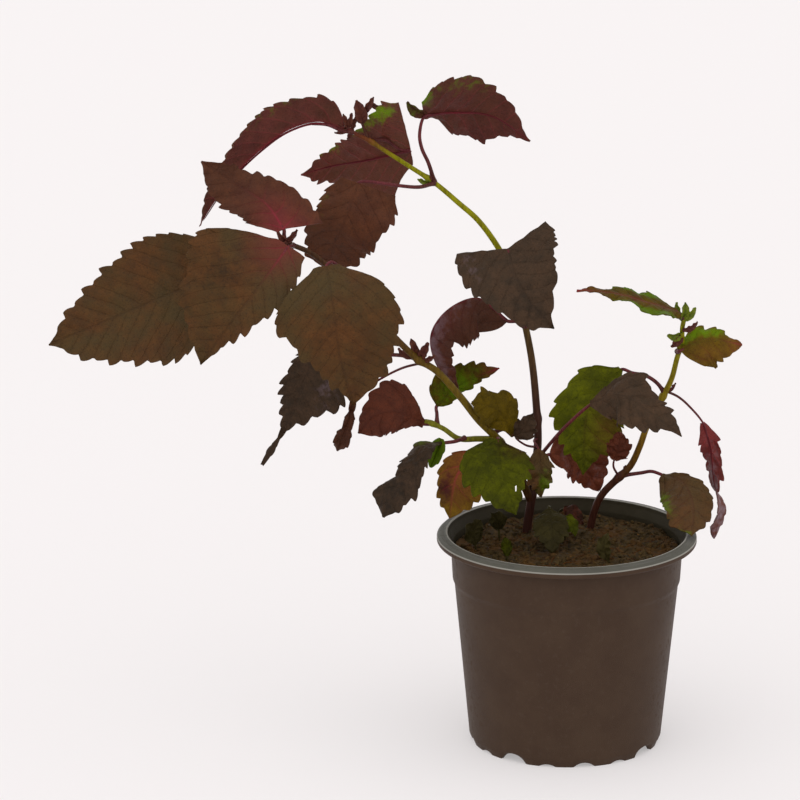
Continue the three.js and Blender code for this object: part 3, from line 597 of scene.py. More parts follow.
# each leaf: half widths left and right of its rib, its stalk, its rib and the way it faces
leaves = {
    "leafMainFlag": dict(
        slot="leaf_grey", paintedLight=0.12, teeth=10, fold=(0, 4), sweep=(-0.4, -0.2),
        widths=((20, 22, 22, 22, 20, 19, 17, 5, 0.3), (23, 24, 23, 20, 17, 13, 10, 6, 0.3)),
        stalk=[(-19, 24, 191), (-20, 13, 202), (-23, 6, 216)],
        rib=[(-28, 2, 234), (-25, -8, 225), (-18, -14, 213), (-7, -16, 201)],
        face=[(-0.15, -0.9, 0.5), (0, -1, 0.1)],
        patches=[("paintedSheen", 0.15, 0.75, (9, 4), 0.3), ("dark", 0.7, 0, (16, 10), 0.3)],
    ),
    "leafMainArched": dict(
        slot="leaf_purple", teeth=14, half=(20, 15), fold=(-58, -60), widest=0.34,
        stalk=[(-19, 24, 191), (-23, 23, 194)],
        rib=[
            (-27, 23, 195), (-41, 21, 206), (-55, 19, 201), (-63, 18, 189), (-60, 14, 175), (-50, 12, 165),
        ],
        face=[(-0.4, -0.2, 1), (-0.7, 0, 0.7), (-1, 0, 0), (-0.9, 0, -0.5), (-0.6, 0, -0.8)],
        patches=[("pink", 0.6, 0.0, (28, 12), 0.35), ("paintedSheen", 0.65, 0, (26, 7), 0.7)],
    ),
    "leafMainUpperRight": dict(
        slot="leaf_purple", paintedLight=0.18, teeth=11, fold=(-4, -8), bend=(0, 25), sweep=(0, -0.45),
        widths=((2, 4, 10, 14, 15, 14, 8, 3, 0.3), (11, 16, 20, 21, 20, 15, 11, 6, 0.3)),
        stalk=[(-61, 30, 258), (-64, 28, 268), (-67, 27, 275), (-68, 26, 282)],
        rib=[(-66, 26, 291), (-53, 32, 291), (-35, 38, 288), (-17, 34, 277)],
        face=[(0, 0.8, 0.6), (0.1, 0.9, 0.4)],
        patches=[("green", 0.0, 0.6, (6, 5), 0.9), ("green", 0.4, 0.85, (22, 5), 0.35)],
        lobes=[((-65, 26, 291), (-74, 25, 297), 3.2, [("green", 0.6, 0, (6, 6), 0.45)])],
    ),
    "leafMainUpperFront": dict(
        slot="leaf_purple", paintedLight=0.32, teeth=9, fold=(-6, -10),
        widths=((18, 20, 20, 18, 17, 16, 14, 10, 0.3), (8, 12, 13, 14, 14, 14, 12, 9, 0.3)),
        stalk=[(-61, 30, 258), (-68, 22, 258), (-77, 16, 260), (-86, 13, 262), (-92, 12, 263)],
        rib=[(-96, 13, 262), (-102, 10, 245), (-107, 14, 233), (-110, 19, 219)],
        face=[(0, -1, 0.3), (0, -1, 0)],
        patches=[("green", 0.3, 0.9, (18, 3), 0.25), ("dark", 0.6, 0, (20, 10), 0.15)],
    ),
    "leafMainTopBack": dict(
        slot="leaf_purple", paintedLight=0.85, teeth=12, fold=(-4, -4), sweep=(-0.3, 0.3),
        widths=((30, 31, 25, 20, 16, 12, 8, 5, 0.3), (8, 14, 25, 25, 20, 14, 8, 4, 0.3)),
        stalk=[(-91, 34, 277), (-84, 40, 276), (-77, 43, 271)],
        rib=[(-72, 42, 271), (-93, 51, 264), (-108, 57, 260), (-123, 56, 256)], face=[(0, 0.9, 0.4)],
        patches=[
            ("green", 0.2, -0.86, (9, 4.5), 1.0), ("green", 0.42, -0.62, (12, 3), 0.6),
            ("green", 0.75, -0.3, (12, 3), 0.4),
        ],
    ),
    "leafMainTopLeft": dict(
        slot="leaf_purple", paintedLight=0.25, teeth=16, half=(15, 13), fold=(62, 58), widest=0.36, full=1,
        stalk=[(-98, 34, 281)],
        rib=[
            (-103, 32, 283), (-114, 25, 288), (-127, 18, 286), (-140, 12, 278), (-151, 8, 268),
            (-161, 3, 256), (-168, -4, 246),
        ],
        face=[(-0.2, 0, 1), (-0.6, 0, 0.8), (-0.8, 0, 0.6)],
        patches=[
            ("green", 0.35, -1.0, (26, 3), 0.25), ("green", 0.35, 1.0, (26, 3), 0.25),
            ("pink", 0.5, 0, (40, 1.5), 0.8),
        ],
    ),
    "leafLeftFar": dict(
        slot="leaf_brown", teeth=15, fold=(6, 6),
        widths=((10, 14, 23, 29, 28, 23, 17, 10, 0.3), (12, 19, 25, 27, 24, 20, 15, 8, 0.3)),
        stalk=[(-125, -24, 242), (-133, -20, 236), (-145, -19, 232)],
        rib=[(-150, -20, 231), (-176, -22, 221), (-206, -22, 208), (-236, -22, 195)],
        face=[(0, -0.85, 0.5)],
    ),
    "leafLeftFront": dict(
        slot="leaf_brown", teeth=11, fold=(6, 8),
        widths=((9, 11, 12, 12, 10, 7, 4, 2, 0.3), (6, 23, 34, 35, 31, 26, 20, 11, 0.3)),
        stalk=[(-125, -24, 242), (-126, -30, 243)],
        rib=[(-127, -34, 244), (-140, -48, 229), (-153, -54, 213), (-166, -52, 194)], face=[(0, -1, 0.4)],
        patches=[("pink", 0.02, 0.1, (14, 13), 0.9), ("dark", 0.4, 0.5, (24, 10), 0.3)],
    ),
    "leafLeftTop": dict(
        slot="leaf_purple", paintedLight=0.1, teeth=10, fold=(8, 8), sweep=(0, -0.5),
        widths=((4, 9, 12, 13, 13, 12, 11, 8, 0.3), (16, 16, 14, 12, 10, 8, 6, 4, 0.3)),
        stalk=[(-129, -28, 245), (-129, -29, 248)],
        rib=[(-129, -30, 251), (-137, -24, 261), (-150, -20, 269), (-166, -20, 280)],
        face=[(0, -0.8, 0.6)], patches=[("pink", 0.0, 0, (16, 10), 1.0)],
    ),
    "leafLeftHanging": dict(
        slot="leaf_brown", teeth=12, fold=(4, 4),
        widths=((6, 17, 25, 29, 27, 24, 20, 12, 0.3), (6, 16, 23, 26, 20, 13, 8, 3, 0.3)),
        stalk=[(-100, -13, 220), (-101, -28, 229), (-108, -39, 238)],
        rib=[(-110, -42, 237), (-107, -54, 224), (-104, -58, 201), (-98, -52, 175)],
        face=[(0, -0.95, 0.3)],
    ),
    "leafLeftDark": dict(
        slot="leaf_grey", paintedLight=0.15, teeth=12, fold=(0, 0),
        widths=((4, 11, 18, 19, 11, 3, 0.8, 1.4, 0.8), (3, 6, 8, 8, 6, 3, 0.8, 1.4, 0.8)),
        stalk=[(-69, 2, 182), (-76, 4, 183), (-91, 8, 183), (-104, 10, 187)],
        rib=[(-114, 10, 187), (-121, 15, 168), (-128, 17, 149), (-141, 20, 126)], face=[(0, -1, 0.2)],
        patches=[("paintedSheen", 0.3, -0.6, (12, 5), 0.4), ("dark", 0.5, 0.5, (30, 12), 0.3)],
    ),
    "leafLeftNarrow": dict(
        slot="leaf_purple", teeth=6, fold=(20, 20),
        widths=((1, 1.2, 1.6, 2, 2.4, 3, 3.4, 2.6, 0.3), (1, 1.2, 1.6, 2, 2.4, 3, 3.4, 2.6, 0.3)),
        stalk=[(-67, 2, 180), (-76, 4, 177), (-88, 6, 170)],
        rib=[(-98, 7, 162), (-101, 8, 149), (-106, 12, 135)], face=[(0, -1, 0)],
    ),
    "leafSideRed": dict(
        slot="leaf_red", paintedLight=0.2, teeth=9, depth=1.5,
        widths=((2, 3, 6, 8, 10, 10, 10, 8, 0.3), (2, 4, 8, 13, 14, 10, 6, 3, 0.3)), stalk=[(-63, 0, 152)],
        rib=[(-66, -1, 152), (-78, -9, 160), (-89, -13, 159), (-96, -14, 151)], face=[(0, -0.8, 0.5)],
        patches=[("green", 0.05, 0.7, (5, 5), 0.7)],
    ),
    "leafSideYellow": dict(
        slot="leaf_olive", teeth=7, half=(9, 4), widest=0.3, stalk=[(-60, 1, 151), (-60, 4, 155)],
        rib=[(-60, 8, 158), (-50, 18, 165), (-31, 26, 171)], face=[(0, -0.8, 0.5)],
        patches=[("green", 0.4, 0, (14, 8), 0.8), ("pink", 1.0, 0, (8, 8), 0.8)],
    ),
    "leafCrownDrooping": dict(
        slot="leaf_grey", teeth=10, fold=(-10, -10),
        widths=((1, 3, 5, 5, 7, 8, 7, 5, 0.5), (2, 5, 6, 6, 6, 6, 9, 10, 1)),
        stalk=[(-47, 3, 144), (-52, -3, 144)],
        rib=[(-58, -6, 145), (-66, -16, 145), (-74, -26, 135), (-85, -30, 116)],
        face=[(-0.4, -0.5, 0.8), (-0.5, -0.8, 0.2)],
        patches=[("green", 0.05, 0.8, (10, 8), 0.8), ("dark", 0.7, 0, (26, 12), 0.45)],
        lobes=[((-58, -5, 146), (-63, -8, 133), 4, [("green", 0.5, 0, (20, 20), 1.0)])],
    ),
    "leafCrownBack": dict(
        slot="leaf_olive", paintedLight=1.2, teeth=7, half=(16, 8), fold=(0, 0), widest=0.36,
        stalk=[(-28, 11, 135), (-35, 18, 135)], rib=[(-43, 24, 131), (-51, 22, 119), (-54, 14, 102)],
        face=[(0, -0.9, 0.4)],
        patches=[
            ("pink", 0.1, 0, (14, 12), 0.5), ("pink", 0.5, -0.3, (20, 12), 0.3),
            ("dark", 0.6, 0.5, (8, 5), 0.7),
        ],
    ),
    "leafCrownGreen": dict(
        slot="leaf_green", paintedLight=-0.12, teeth=8, depth=2.3,
        widths=((2, 7, 11, 13, 12, 9, 6, 3, 0.3), (6, 12, 15, 18, 16, 13, 10, 5, 0.3)),
        stalk=[(-32, 8, 142), (-32, 2, 144)], rib=[(-32, -2, 145), (-31, -16, 136), (-24, -26, 116)],
        face=[(0, -0.9, 0.5)],
        patches=[
            ("dark", 0.1, -0.3, (12, 10), 0.45), ("pink", 0.1, -0.9, (9, 8), 0.35),
            ("dark", 0.9, 0.2, (6, 8), 0.25),
        ],
        holes=[(0.56, 0.2, 0.055), (0.64, 0.3, 0.045), (0.72, 0.24, 0.05)],
    ),
    "leafCrownOlive": dict(
        slot="leaf_olive", paintedLight=0.15, teeth=7,
        widths=((1, 2, 6, 8, 9, 9, 9, 7, 0.3), (1, 3, 6, 8, 9, 7, 7, 5, 0.3)),
        stalk=[(-34, 8, 145), (-29, 10, 146)], rib=[(-25, 6, 144), (-32, 4, 157), (-44, 0, 162)],
        face=[(0, -0.8, 0.6)],
    ),
    "leafCrownSmall": dict(
        slot="leaf_grey", teeth=5, half=(4, 5), stalk=[(-13, 22, 134), (-19, 12, 138)],
        rib=[(-24, 4, 144), (-20, 2, 149), (-16, 2, 156)], face=[(0, -1, 0.3)],
    ),
    "leafCrownBrown": dict(
        slot="leaf_brown", paintedLight=0.2, teeth=6, half=(5, 6), stalk=[(-13, 22, 138), (-15, 15, 139)],
        rib=[(-13, 9, 137), (-12, 6, 127), (-12, 8, 114)], face=[(0.2, -1, 0.2)],
        patches=[("green", 0.7, -0.5, (8, 5), 0.6)],
    ),
    "leafRightGrey": dict(
        slot="leaf_grey", paintedLight=0.2, teeth=10, fold=(-10, -20),
        widths=((0.6, 4, 9, 13, 10, 8, 7, 4, 0.3), (1, 8, 11, 12, 12, 9, 5, 1.5, 0.3)),
        stalk=[(-14, 22, 127), (-10, 14, 135), (-1, 4, 149)],
        rib=[(10, -6, 163), (24, -17, 170), (38, -25, 163), (51, -26, 153)], face=[(0, -0.8, 0.6)],
    ),
    "leafRightRed": dict(
        slot="leaf_red", paintedLight=1.25, teeth=8, half=(14, 8), fold=(0, 0), widest=0.42,
        stalk=[(-14, 22, 125), (-10, 23, 129)], rib=[(-7, 24, 130), (5, 30, 126), (16, 35, 109)],
        face=[(0, -0.9, 0.4)], patches=[("paintedSheen", 0.5, 0, (20, 10), 0.2)],
    ),
    "leafRightGreen": dict(
        slot="leaf_green", paintedLight=0.45, teeth=10, fold=(4, 4),
        widths=((1, 9, 15, 16, 16, 15, 10, 5, 0.3), (2, 9, 12, 13, 15, 11, 8, 4, 0.3)),
        stalk=[(45, 12, 163), (41, 12, 168), (36, 13, 171), (30, 14, 172)],
        rib=[(25, 16, 173), (11, 17, 157), (8, 21, 121)], face=[(0, -0.9, 0.4)],
        patches=[("pink", 0.6, -0.7, (14, 8), 0.4)],
    ),
    "leafRightSmall": dict(
        slot="leaf_red", paintedLight=0.4, teeth=5, half=(5, 5), full=0.6, stalk=[(25, 24, 119), (22, 17, 126)],
        rib=[(22, 11, 131), (24, 9, 138), (24, 9, 145)], face=[(0, -1, 0.2)],
    ),
    "leafRightCupped": dict(
        slot="leaf_brown", paintedLight=0.12, teeth=9, depth=1.1, fold=(-5, -5),
        widths=((1, 2, 4, 8, 9, 9, 7, 4, 0.3), (4, 11, 13, 13, 13, 13, 11, 9, 0.3)),
        stalk=[(26, 23, 120), (35, 24, 121), (40, 23, 122)],
        rib=[(45, 22, 121), (54, 12, 120), (58, 0, 113), (57, -14, 102)], face=[(0, -0.8, 0.6)],
        patches=[
            ("green", 0.4, 1.0, (22, 4.5), 0.6), ("green", 1.0, 0.5, (4, 12), 0.5),
            ("pink", 0.5, 0.3, (18, 7), 0.12),
        ],
    ),
    "leafRightTwisted": dict(
        slot="leaf_red", paintedLight=0.6, teeth=10, half=(5, 5), fold=(0, 0), widest=0.45, full=0.5,
        stalk=[(45, 12, 164), (51, 13, 161), (57, 16, 155)],
        rib=[(63, 18, 147), (67, 19, 135), (69, 22, 119), (72, 25, 104), (70, 30, 87)],
        face=[(-0.3, 0.9, 0.2), (1, 0.3, 0), (0.3, -1, 0)],
        patches=[("pink", 0.1, 0, (18, 8), 0.25), ("paintedSheen", 0.7, 0, (30, 8), 0.6)],
    ),
    "leafRightTopLeft": dict(
        slot="leaf_olive", teeth=10, depth=1.7, fold=(0, 0),
        widths=((4, 8, 10, 9, 7, 6, 4.5, 2.5, 0.3), (4, 8, 10, 9, 7, 6, 4.5, 2.5, 0.3)),
        stalk=[(52, -1, 202)], rib=[(50, -4, 206), (36, -11, 212), (22, -15, 217), (3, -22, 221)],
        face=[(0, -0.35, 1), (0, -0.1, 1)],
        patches=[
            ("green", 0.35, -0.8, (22, 3), 0.9), ("green", 0.35, 0.8, (22, 3), 0.9),
            ("pink", 0.45, 0, (24, 2), 0.5), ("pink", 1.0, 0, (9, 8), 0.8),
        ],
    ),
    "leafRightTopRight": dict(
        slot="leaf_olive", paintedLight=0.38, teeth=7, depth=2.0, half=(6, 13), fold=(0, -20), widest=0.36,
        stalk=[(50, 4, 185)], rib=[(51, -1, 187), (63, 4, 191), (80, 8, 187)], face=[(0, -0.6, 0.8)],
        patches=[
            ("green", 0.4, -0.6, (14, 3), 0.8), ("pink", 0.4, 0.6, (14, 6), 0.3),
            ("pink", 1.0, 0, (7, 8), 0.5),
        ],
    ),
    "leafLowDark": dict(
        slot="leaf_grey", finish="leaf_low", teeth=6, half=(7, 8),
        stalk=[(-10, 8, 84), (-9, 8, 103), (-8, 7, 110)], rib=[(-8, 6, 109), (-7, -6, 103), (-7, -16, 95)],
        face=[(0, -0.8, 0.6)],
    ),
    "leafLowBright": dict(
        slot="leaf_green", teeth=5, half=(3, 4), stalk=[(0, 12, 84), (-1, 9, 102)],
        rib=[(-1, 4, 106), (2, 0, 104), (4, -4, 99)], face=[(0.3, -0.9, 0.5)],
    ),
    "leafLowRed": dict(
        slot="leaf_red", teeth=5, half=(3, 4), stalk=[(-3, 19, 84), (-3, 17, 104)],
        rib=[(-1, 14, 107), (3, 12, 106), (8, 10, 100)], face=[(0, -0.8, 0.6)],
        patches=[("dark", 0.5, 0, (12, 9), 0.5)],
    ),
    "leafLowWall": dict(
        slot="leaf_grey", finish="leaf_low", teeth=4, half=(4.5, 4.5), widest=0.45, stalk=[(-41, -5, 84)],
        rib=[(-42, -5, 95), (-43, -5, 101), (-40, -4, 107)], face=[(0.4, -0.9, 0)],
    ),
    "leafLowDull": dict(
        slot="leaf_grey", finish="leaf_low", teeth=4, half=(4, 4), widest=0.45, stalk=[(-31, 10, 84)],
        rib=[(-31, 10, 98), (-32, 8, 103), (-35, 6, 107)], face=[(0, -0.9, 0.4)],
    ),
    "leafLowGreen": dict(
        slot="leaf_green", paintedLight=-0.35, teeth=4, half=(2.4, 2.4), widest=0.45, stalk=[(-28, -22, 84)],
        rib=[(-28, -22, 95), (-28, -20, 98), (-29, -18, 103)], face=[(0, -0.9, 0.4)],
        patches=[("dark", 0.5, 0, (12, 9), 0.35)],
    ),
    "leafLowOlive": dict(
        slot="leaf_olive", finish="leaf_low", paintedLight=0.25, teeth=4, half=(3, 3), fold=(8, 8),
        stalk=[(18, -25, 84)], rib=[(18, -25, 94), (16, -24, 100), (18, -22, 106)],
        face=[(-0.2, -0.9, 0.3)],
    ),
}
stalkBuild = {
    "largeHalf": 6, "thick": 0.95, "thin": 0.6, "knot": 0.5,
    "stalkRadii": (1, 0.9, 0.8, 0.6), "ribRadii": (0.75, 0.55, 0.4, 0.2),
    "ribShares": (0.0, 0.1, 0.2, 0.35, 0.5, 0.65, 0.8, 0.97), "sunk": 0.2,
}


def addBud(bm, start, end, half, number, skin, patches=()):
    # a small folded young leaf
    start, end = Vector(start), Vector(end)
    length = (end - start).length
    ahead = (end - start).normalized()
    face = ahead.cross(Vector((0.3 * (number % 3 - 1), 1, 0.4))).cross(ahead) * -1
    middle = start.lerp(end, 0.55) + face.normalized() * 0.12 * length
    bud = {
        **leafBase, "rib": [start, middle, end], "face": [face], "half": (half, half), "fold": (35, 35),
        "full": 0.7, "teeth": 5, "rowsPerTooth": 4, "veins": 5, "relief": (0.15, 0.3, 0.1),
        "depth": 0.12 * half + 0.1, "patches": patches,
    }
    addBlade(bm, bud, number, 4, (skin, skin))


def makeLeaf(name, leaf, number):
    bm = startPiece()
    rib = addBlade(bm, leaf, number)
    large = max(halfOf(leaf, 0), halfOf(leaf, 1)) > stalkBuild["largeHalf"]
    thick = stalkBuild["thick" if large else "thin"]
    line = []    # along the underside of the blade
    for share in stalkBuild["ribShares"]:
        point, ahead = rib(share)
        depth = stalkBuild["sunk"] + thick * (0.75 - 0.65 * share)
        line.append(point - faceAt(leaf, share, ahead) * depth)
    stalk = [*leaf["stalk"], *line[:3]]
    stalkRadii, ribRadii = ([thick * part for part in stalkBuild[key]] for key in ("stalkRadii", "ribRadii"))
    knots = [(0.0, stalkBuild["knot"])] if large else ()
    addTube(bm, stalk, stalkRadii, 10, 12 * len(stalk), 2, knots)
    addTube(bm, line, ribRadii, 8, 40, 1)
    for start, end, half, patches in leaf["lobes"]:
        addBud(bm, start, end, half, number, 0, patches)
    finish = leaf.get("finish", leaf["slot"])
    stalkMaterial = lowStalkMaterial if name.startswith("leafLow") else petioleMaterial
    materials = [leafMaterials[finish, "upper"], leafMaterials[finish, "under"], stalkMaterial]
    node = re.sub("([A-Z])", lambda found: "_" + found[1].lower(), name)
    endPiece(name, bm, materials, leaf["slot"], node)


for number, (name, leaf) in enumerate(leaves.items()):
    makeLeaf(name, {**leafBase, **leaf}, number)

print("stems")
stems = {
    "mainStem": {
        "tubes": [
            dict(
                finish="trunk", radii=(2.3, 0.9),
                knots=[(0.13, 0.4), (0.28, 0.5), (0.5, 0.6), (0.81, 0.6), (0.94, 0.5)],
                route=[
                    (-18, 22, 80), (-18, 22, 92), (-16, 22, 108), (-14, 22, 125), (-13, 22, 138),
                    (-14, 23, 156), (-16, 24, 175), (-19, 24, 191), (-22, 25, 203), (-26, 25, 216),
                    (-31, 26, 227), (-41, 27, 241), (-50, 28, 249), (-61, 30, 258), (-74, 33, 266),
                    (-85, 34, 273), (-91, 34, 277), (-97, 34, 280), (-102, 33, 284),
                ],
            ),
            dict(
                finish="branch", radii=(2, 1.1), knots=[(0.2, 0.5), (0.5, 0.8), (0.77, 0.5)],
                route=[
                    (-16, 22, 108), (-24, 14, 128), (-32, 8, 142), (-41, 6, 152), (-49, 4, 163),
                    (-60, 2, 176), (-69, 2, 182), (-77, -3, 191), (-91, -8, 208), (-104, -13, 224),
                    (-117, -19, 237), (-125, -24, 242), (-129, -28, 245),
                ],
            ),
            dict(
                finish="shoot", radii=(1.5, 1.1), knots=[(0.9, 0.4)],
                route=[
                    (-32, 8, 142), (-41, 5, 143), (-50, 2, 144), (-57, 1, 149), (-63, 0, 152),
                    (-66, 0, 153),
                ],
            ),
            dict(
                finish="stalk", radii=(0.7, 0.6),
                route=[(-91, 34, 277), (-94, 35, 284), (-95, 35, 290)],
            ),
        ],
        "buds": [    # from, to and half width
            ((-101, 33, 283), (-103, 32, 290), 1.3), ((-101, 33, 283), (-99, 34, 290), 1.2),
            ((-99, 34, 282), (-97, 36, 288), 1.2), ((-100, 33, 283), (-107, 32, 281), 1.2),
            ((-99, 34, 282), (-101, 36, 277), 1.1), ((-101, 33, 283), (-107, 30, 287), 1.2),
            ((-94, 35, 285), (-97, 34, 296), 3.2), ((-95, 35, 289), (-89, 36, 297), 1.8),
            ((-91, 36, 294), (-83, 37, 292), 1.6), ((-62, 30, 258), (-69, 29, 260), 1.6),
            ((-61, 30, 258), (-63, 29, 264), 1.2), ((-68, 2, 182), (-64, 1, 190), 2.2),
            ((-69, 2, 182), (-72, 4, 191), 2), ((-70, 2, 183), (-78, 5, 186), 2.2),
            ((-67, 2, 181), (-61, 0, 184), 1.5), ((-127, -28, 245), (-134, -30, 243), 1.8),
            ((-128, -28, 245), (-132, -31, 250), 1.6), ((-128, -28, 244), (-123, -27, 250), 1.4),
        ],
        "greenBuds": (9,),
    },
    "rightStem": {
        "tubes": [
            dict(
                finish="right", radii=(1.9, 1.1), knots=[(0.32, 0.5), (0.67, 0.6), (0.88, 0.6)],
                route=[
                    (12, 30, 80), (12, 30, 92), (15, 28, 105), (18, 26, 111), (24, 24, 118), (30, 22, 125),
                    (34, 19, 135), (37, 17, 145), (40, 14, 153), (45, 12, 163), (48, 9, 171), (50, 6, 181),
                    (52, 3, 190), (52, 1, 197), (53, -1, 203),
                ],
            ),
        ],
        "buds": [    # from, to and half width
            ((52, -1, 201), (53, -3, 210), 2.2), ((52, -1, 201), (58, -1, 207), 2),
            ((52, -1, 201), (49, 1, 209), 1.8), ((52, 0, 196), (59, 0, 200), 1.8),
            ((52, 2, 194), (45, -2, 194), 2.6), ((52, 2, 193), (47, 0, 188), 2),
            ((45, 12, 163), (50, 11, 168), 1.1), ((25, 24, 119), (28, 23, 125), 1),
        ],
        "greenBuds": (0, 1, 2, 4),
    },
}
stemFinishes = {
    "trunk": [
        (0.0, "#3a1f1a"), (0.3, "#472b1e"), (0.46, "#57421c"), (0.6, "#868400"), (0.88, "#8a8800"),
        (0.95, "#74401c"), (0.99, "#662a24"),
    ],
    "branch": [(0.0, "#46281d"), (0.2, "#6c5a0c"), (0.45, "#6a5410"), (0.6, "#553818"), (1.0, "#4f3420")],
    "shoot": [(0.0, "#6f6a18"), (1.0, "#7c7c1c")],
    "stalk": [(0.0, "#4e2c20"), (1.0, "#4a2a20")],
    "right": [(0.0, "#3f211c"), (0.33, "#4e2c1c"), (0.45, "#7a5814"), (0.7, "#8c7a10"), (0.95, "#8a8a0c")],
}
budFinishes = {"budDark": ("#4a2420", "#5c3224"), "budGreen": ("#4d5a14", "#6a7418")}


def makeBudMaterial(name, colours):
    material, tree, shader = newMaterial(name, 0.5, 0.15)
    veins = placeGroup(tree, veinGroup, {"Vector": leafPlace(tree)})["Veins"]
    clouds = mottle(tree, objectPlace(tree), 400.0)
    colour = mixColours(tree, clouds, *(paint(text) for text in colours))
    darker = darken(tree, colour, (0.6, 0.55, 0.5))
    tree.links.new(mixColours(tree, veins, colour, darker), shader.inputs["Base Color"])
    addBump(tree, shader, veins, 0.2, 0.5)
    return material


stemMaterials = {name: makeStemMaterial(name + "Stem", stops) for name, stops in stemFinishes.items()}
budMaterials = [makeBudMaterial(name, colours) for name, colours in budFinishes.items()]


def makeStem(name, node, slotName):
    bm = startPiece()
    tubes = stems[name]["tubes"]
    for index, tube in enumerate(tubes):
        steps = 14 * len(tube["route"])
        addTube(bm, tube["route"], tube["radii"], 16, steps, index, tube.get("knots", ()), 0.06)
    for number, (start, end, half) in enumerate(stems[name]["buds"]):
        green = number in stems[name]["greenBuds"]
        addBud(bm, start, end, half, number, len(tubes) + (1 if green else 0))
    endPiece(name, bm, [stemMaterials[tube["finish"]] for tube in tubes] + budMaterials, slotName, node)


makeStem("mainStem", "main_stem", "stem_dark")
makeStem("rightStem", "right_stem", "stem_olive")

print("pot")
pot = {
    "height": 100, "lipFoot": 95.5, "lipRadius": 60, "mouth": 54.7, "foot": 44.6, "footInset": 1.2,
    "collarFoot": 78, "shoulder": 52.6, "neck": 51.7, "neckDrop": 2.2, "collar": 53.6, "wall": 1.1,
    "floor": 4.6, "pad": 17, "padSlope": 3, "bead": 1.8, "round": 0.35, "steps": 384,
    "lipInset": 0.3, "lipDepth": 2.5, "highlightOutside": 0.4, "highlightInside": 1.1,
    "scallopSteps": 16, "scallopStart": -35, "scallopsFrom": 38,
    "scallops": [(7, 3.9), (4, 1.1), (5, 2), (4, 1.1)],    # half width and height, over and over
    "drains": 6, "drainRadius": 4, "drainCircle": 30,
    "plastics": [    # two colours and the roughness of its outside, lip, light grey bands of painted highlight at the lip's edges, and inside
        ("potOutside", "#3f2f24", "#443428", 0.5), ("potLip", "#4c4b44", "#54534b", 0.45),
        ("potBeadHighlight", "#85837b", "#8a8880", 0.4), ("potInside", "#302b1e", "#353023", 0.55),
    ],
    "dust": "#6d625a",
}


def makePlastic(name, dark, light, roughness):
    material, tree, shader = newMaterial(name, roughness, 0.1)
    place = objectPlace(tree)
    colour = mixColours(tree, mottle(tree, place, 60.0), paint(dark), paint(light))
    dust = remap(tree, mottle(tree, place, 420.0, 6.0), 0.72, 1.0)
    colour = mixColours(tree, scaled(tree, dust, 0.06), colour, paint(pot["dust"]))
    tree.links.new(colour, shader.inputs["Base Color"])
    tree.links.new(scaled(tree, dust, 0.2, roughness), shader.inputs["Roughness"])
    addBump(tree, shader, mottle(tree, place, 2500.0), 0.06, 0.5)
    return material


def archAt(angle):
    # how high the foot's scallops reach at an angle from the viewer's side
    step = 360 / pot["scallopSteps"]
    turn = (math.degrees(angle) - pot["scallopStart"]) % 360
    number = round(turn / step) % pot["scallopSteps"]
    half, high = pot["scallops"][number % 4]
    away = math.radians((turn - number * step + 180) % 360 - 180) * pot["foot"]
    radius = (half * half + high * high) / (2 * high)
    return max(0.0, math.sqrt(max(radius * radius - away * away, 0.0)) - radius + high)


def spinProfile(bm, profile, steps, rounded=()):
    # turns a line of radii and heights about the pot's axis, with the numbered corners eased
    corners = [bm.verts.new((radius, 0, height)) for radius, height in profile]
    for pair in zip(corners, corners[1:]):
        bm.edges.new(pair)
    if rounded:
        bmesh.ops.bevel(bm, geom=[corners[k] for k in rounded], offset=pot["round"], offset_type="OFFSET",
                        segments=3, profile=0.5, affect="VERTICES", material=-1)
    bmesh.ops.spin(bm, geom=bm.verts[:] + bm.edges[:], cent=(0, 0, 0), axis=(0, 0, 1), dvec=(0, 0, 0),
                   angle=2 * math.pi, steps=steps, use_merge=True)
    bmesh.ops.remove_doubles(bm, verts=bm.verts[:], dist=1e-3)


def plasticOf(face):
    # which of the pot's plastics a face has; thin bands at the lip's outer and inner edges take a light
    # grey, a painted highlight
    middle = face.calc_center_median()
    radius = math.hypot(middle.x, middle.y)
    if radius > pot["mouth"] + pot["lipInset"] and middle.z > pot["height"] - pot["lipDepth"]:
        # painted highlight: light grey bands along the lip's outer rim and the mouth's inner edge
        onPaintedHighlight = radius > pot["lipRadius"] - pot["highlightOutside"] or radius < pot["mouth"] + pot["highlightInside"]
        return 2 if onPaintedHighlight else 1
    facesIn = face.normal.x * middle.x + face.normal.y * middle.y < 0
    return 3 if facesIn and middle.z > pot["floor"] + pot["wall"] else 0


def boreDrains(piece):
    cutter = bmesh.new()
    radius = pot["drainRadius"]
    for k in range(pot["drains"]):
        angle = 2 * math.pi * k / pot["drains"]
        out = Vector((math.cos(angle), math.sin(angle), 0)) * pot["drainCircle"]
        centre = out + Vector((0, 0, pot["floor"]))
        bmesh.ops.create_cone(cutter, cap_ends=True, segments=32, radius1=radius, radius2=radius,
                              depth=6 * pot["wall"], matrix=Matrix.Translation(centre))
    bmesh.ops.scale(cutter, vec=(mm, mm, mm), verts=cutter.verts[:])
    drill = link("drainDrills", toMesh("drainDrills", cutter))
    cut = piece.modifiers.new("drains", "BOOLEAN")
    cut.operation = "DIFFERENCE"
    cut.solver = "EXACT"
    cut.object = drill
    drilled = bpy.data.meshes.new_from_object(piece.evaluated_get(bpy.context.evaluated_depsgraph_get()))
    piece.modifiers.clear()
    piece.data = drilled
    bpy.data.objects.remove(drill)


